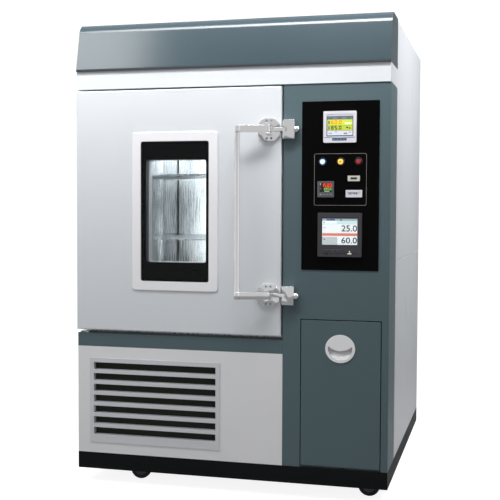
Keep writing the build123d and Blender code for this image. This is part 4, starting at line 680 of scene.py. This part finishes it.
def thin_figures(name, text, left, right, foot, tall, front):
    """Thin round figures drawn by the plain built-in face, fitted between two edges."""
    words = bpy.data.curves.new(name, "FONT")
    words.body = text
    words.size = tall / 1000 / 0.72
    words.extrude = 0.00012
    words.offset = 0.00025
    piece = make_object(name, words)
    bpy.context.view_layer.update()
    mesh = bpy.data.meshes.new_from_object(piece.evaluated_get(bpy.context.evaluated_depsgraph_get()))
    edges = [corner.co.x for corner in mesh.vertices]
    fit = (right - left) / 1000 / (max(edges) - min(edges))
    mesh.transform(Matrix.Translation((-min(edges), 0, 0)))
    mesh.transform(Matrix.Diagonal((fit, 1, 1, 1)))
    mesh.transform(Matrix.Translation(at(left, front, foot)) @ Matrix.Rotation(math.pi / 2, 4, "X"))
    bpy.data.objects.remove(piece)
    return make_object(name, mesh)


recorder_figures = (
    ("recorder_upper_figures", "25.0", 902.5, 20.5),
    ("recorder_lower_figures", "60.0", 863.5, 19.5),
)
for name, digits, foot, tall in recorder_figures:
    reading = thin_figures(name, digits, 943.0, 994.5, foot, tall, tab_front)
    finish(reading, figure_grey, "cabinet", smooth=False)

limit_glass = surface("limit_glass", ((0.010, 0.010, 0.012), (0.016, 0.016, 0.02)), 300, (0.15, 0.2), 0.02)
led_red = glowing("led_red", (0.90, 0.04, 0.02), 1.0)
led_green = glowing("led_green", (0.22, 0.55, 0.05), 0.8)
limit_front = -7.0
lit_patch("limit_glass", 868.3, 908.7, 1031.3, 1060.7, limit_front - 0.3, limit_glass)
figures("limit_red_figures", "1500", 875.4, 1047.6, 6.4, 12.4, limit_front - 0.6, led_red)
figures(
    "limit_green_figures", "0950", 883.0, 1037.2, 5.0, 8.4, limit_front - 0.6, led_green,
)
limit_marks = (
    ("limit_mark_upper", 869.4, 872.8, 1056.0, 1059.0, limit_front - 0.6, chip_white),
    ("limit_mark_middle", 869.4, 872.8, 1050.0, 1052.6, limit_front - 0.6, ink_grey),
    ("limit_mark_lower", 869.4, 872.8, 1041.0, 1044.0, limit_front - 0.6, ink_grey),
    ("limit_line", 884.0, 901.0, 1033.4, 1034.8, limit_front - 0.6, chip_white),
    ("limit_first_key", 869.4, 874.6, 1021.6, 1024.4, -10.1, bar_red),
)
for name, left, right, foot, head, front, ink in limit_marks:
    lit_patch(name, left, right, foot, head, front, ink)
figures("hour_meter_figures", "00428", 964, 1022.8, 4.6, 6.4, -5.25, ink_black, 0.2)
lit_patch("serial_socket", 967.5, 994.5, 1070.0, 1082.0, -3.4, ink_black, 3.0)
collars = bmesh.new()
collar_profile = [(0.0, 9.5), (0.0, 13.4), (1.0, 13.4), (2.0, 12.2), (2.0, 9.5)]
for across in (877.0, 937.0, 996.0):
    turn_profile(collars, collar_profile, at(across, -3.0, 1131.0), (0, -1, 0), 40)
collar_dark = surface("button_collar", ((0.018, 0.02, 0.024), (0.03, 0.033, 0.038)), 500, (0.3, 0.4), 0.1)
finish(mesh_piece("button_collars", collars), collar_dark, "cabinet")

lit_colours = {
    "power_button": ((0.30, 0.50, 0.86), 0.7, (0.85, 0.92, 1.0), 1.0, 5.4, "power_push", 877.0),
    "run_button": ((0.82, 0.48, 0.08), 0.8, (0.30, 0.14, 0.02), 0.5, 3.0, "run_push", 937.0),
    "alarm_button": ((0.24, 0.015, 0.02), 0.25, (0.34, 0.03, 0.03), 0.3, 4.5, "alarm_push", 996.0),
}
for name, (rim, rim_strength, heart, heart_strength, radius, body, across) in lit_colours.items():
    dress(glowing(name + "_lens", rim, rim_strength), name)
    heart_profile = [(0.0, 0.01), (0.0, radius), (0.15, radius), (0.15, 0.01)]
    heart_place = at(across, -9.05, 1131.0)
    disc = turned_piece(name + "_heart", heart_profile, heart_place, (0, -1, 0), 32, closed=False)
    finish(disc, glowing(name + "_centre", heart, heart_strength), body, smooth=False)


# Main door: a folded enamel shell over a foam core, faced with stainless inside. A white moulded
# frame holds two panes; a black border is fired on the outer pane round the clear part.
dress(enamel, "door_shell")
dress(brushed, "door_liner")
clear_glass = surface(
    "clear_glass", ((0.93, 0.97, 0.98), (0.95, 0.98, 0.99)), 20, (0.0, 0.01), 0.0, edge=0.5,
    Transmission_Weight=1.0, IOR=1.16,
)
border_black = surface(
    "border_black", ((0.0015, 0.0015, 0.002), (0.0025, 0.0025, 0.003)), 400, (0.12, 0.2), 0.03,
    Specular_IOR_Level=0.05,
)
spacer_grey = surface("spacer_grey", ((0.030, 0.034, 0.040), (0.045, 0.05, 0.056)), 300, (0.3, 0.45), 0.1)
pane_loop = rounded_loop(242.3, 487.7, 723.3, 1204.7, 8)
clear_loop = rounded_loop(260.0, 476.0, 789.5, 1142.5, 9)
pane = bmesh.new()
slab(pane, pane_loop, (-11.8, -6.2))
outer_pane = finish(mesh_piece("outer_pane", pane), clear_glass, "door", smooth=False)
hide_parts("window_glass")
border = bmesh.new()
frame_faces(border, pane_loop, clear_loop, (-6.1, -5.2))
finish(mesh_piece("pane_border", border), border_black, "door", smooth=False)
tunnel_loop = rounded_loop(248.2, 481.8, 729.2, 1198.8, 8)
spacer = bmesh.new()
frame_faces(spacer, tunnel_loop, rounded_loop(259.0, 477.0, 788.5, 1143.5, 9), (-5.0, 22.0))
finish(mesh_piece("pane_spacer", spacer), spacer_grey, "door", smooth=False)
reveal = bmesh.new()
frame_faces(reveal, tunnel_loop, rounded_loop(260.5, 475.5, 790.0, 1142.0, 9), (22.2, 50.8))
finish(mesh_piece("pane_reveal", reveal), trim_white, "door", smooth=False)
inner = bmesh.new()
slab(inner, rounded_loop(248.2, 481.8, 729.2, 1198.8, 2), (51.0, 55.8))
finish(mesh_piece("inner_pane", inner), clear_glass, "door", smooth=False)

# A near-black sheet on the flange round the door opening is painted shade: it stands in for the shade seen
# through the gap round the door.
gap_shade_black = surface(
    "gap_shade_sheet", ((0.002, 0.002, 0.002), (0.004, 0.004, 0.004)), 500, (0.6, 0.8), 0.1, Specular_IOR_Level=0.1,
)
gap_ring = bmesh.new()
gap_shade_outer = rounded_loop(1.0, 743.4, 547.6, 1385.6, 2, 3)
gap_shade_inner = rounded_loop(26.0, 713.0, 573.0, 1357.0, 12, 3)
frame_faces(gap_ring, gap_shade_outer, gap_shade_inner, (62.0, 62.3))
finish(mesh_piece("gap_shade_sheet", gap_ring), gap_shade_black, "cabinet", smooth=False)

seal_rubber = surface("seal_rubber", ((0.012, 0.012, 0.013), (0.020, 0.020, 0.022)), 500, (0.45, 0.65), 0.4)
seal = bmesh.new()
seal_rings = []
seal_section = (
    (0.2, 56.1), (0.4, 59.0), (3.0, 61.2), (8.0, 61.9), (12.0, 61.0),
    (14.0, 58.6), (17.5, 58.0), (21.0, 58.6), (23.6, 58.0), (23.8, 56.1),
)
for inset, deep in seal_section:
    loop = rounded_loop(24 + inset, 715 - inset, 571 + inset, 1359 - inset, 20 - inset * 0.35, 8)
    seal_rings.append([seal.verts.new(at(x, deep, z)) for x, z in loop])
for one, other in zip(seal_rings, seal_rings[1:] + seal_rings[:1]):
    join_loops(seal, one, other)
gasket = finish(mesh_piece("door_seal", seal), seal_rubber, "door")
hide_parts("door_gasket")


# Latches and handle: two bright-plated cases on the door, joined by one pull bar on two levers. Each
# lever draws its flat bolt out of a slotted keeper on the column, which has a round knob beside it.
chrome = surface(
    "chrome_plate", ((0.88, 0.88, 0.89), (0.93, 0.93, 0.94)), 200, (0.03, 0.08), 0.02, edge=1.0, Metallic=1.0,
)


def eased_copy(name, nodes, width, body):
    """A copy of a machined solid with its edges eased, as they are before plating."""
    work = bmesh.new()
    for node in nodes:
        work.from_mesh(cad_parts[node].data)
    bmesh.ops.remove_doubles(work, verts=work.verts, dist=0.00001)
    bmesh.ops.dissolve_limit(work, angle_limit=math.radians(2), verts=work.verts, edges=work.edges)
    piece = finish(mesh_piece(name, work, width), chrome, body)
    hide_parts(*nodes)
    return piece


def screw_heads(name, places, facing, radius, material, body):
    """Pan heads with a round drive recess, all facing one way."""
    work = bmesh.new()
    rise = radius * 0.55
    profile = [
        (0.0, 0.01), (0.0, radius), (rise * 0.5, radius * 0.93), (rise, radius * 0.6), (rise, radius * 0.34),
        (rise * 0.25, radius * 0.28), (rise * 0.25, 0.01),
    ]
    for place in places:
        turn_profile(work, profile, place, facing, 16, closed=False)
    return finish(mesh_piece(name, work), material, body)


eased_copy("latch_bodies", ["latch_cases"], 1.2, "door")
eased_copy("flat_bolts", ["latch_bolts"], 0.5, "bolts")
eased_copy("pull_handle", ["door_handle"], 1.2, "handle")
eased_copy("keepers", ["latch_strikes"], 0.8, "cabinet")
eased_copy("hinges", ["hinge_brackets"], 0.5, "cabinet")
dark_steel = surface(
    "dark_screw", ((0.20, 0.21, 0.22), (0.30, 0.31, 0.32)), 300, (0.25, 0.4), 0.1, Metallic=1.0,
)
latch_heights = (1239.0, 686.0)
latch_screws = [
    at(across, -18.0, height + rise)
    for height in latch_heights for rise in (-29.0, 29.0) for across in (690.0, 706.0)
]
screw_heads("latch_screws", latch_screws, (0, -1, 0), 4.0, dark_steel, "door")
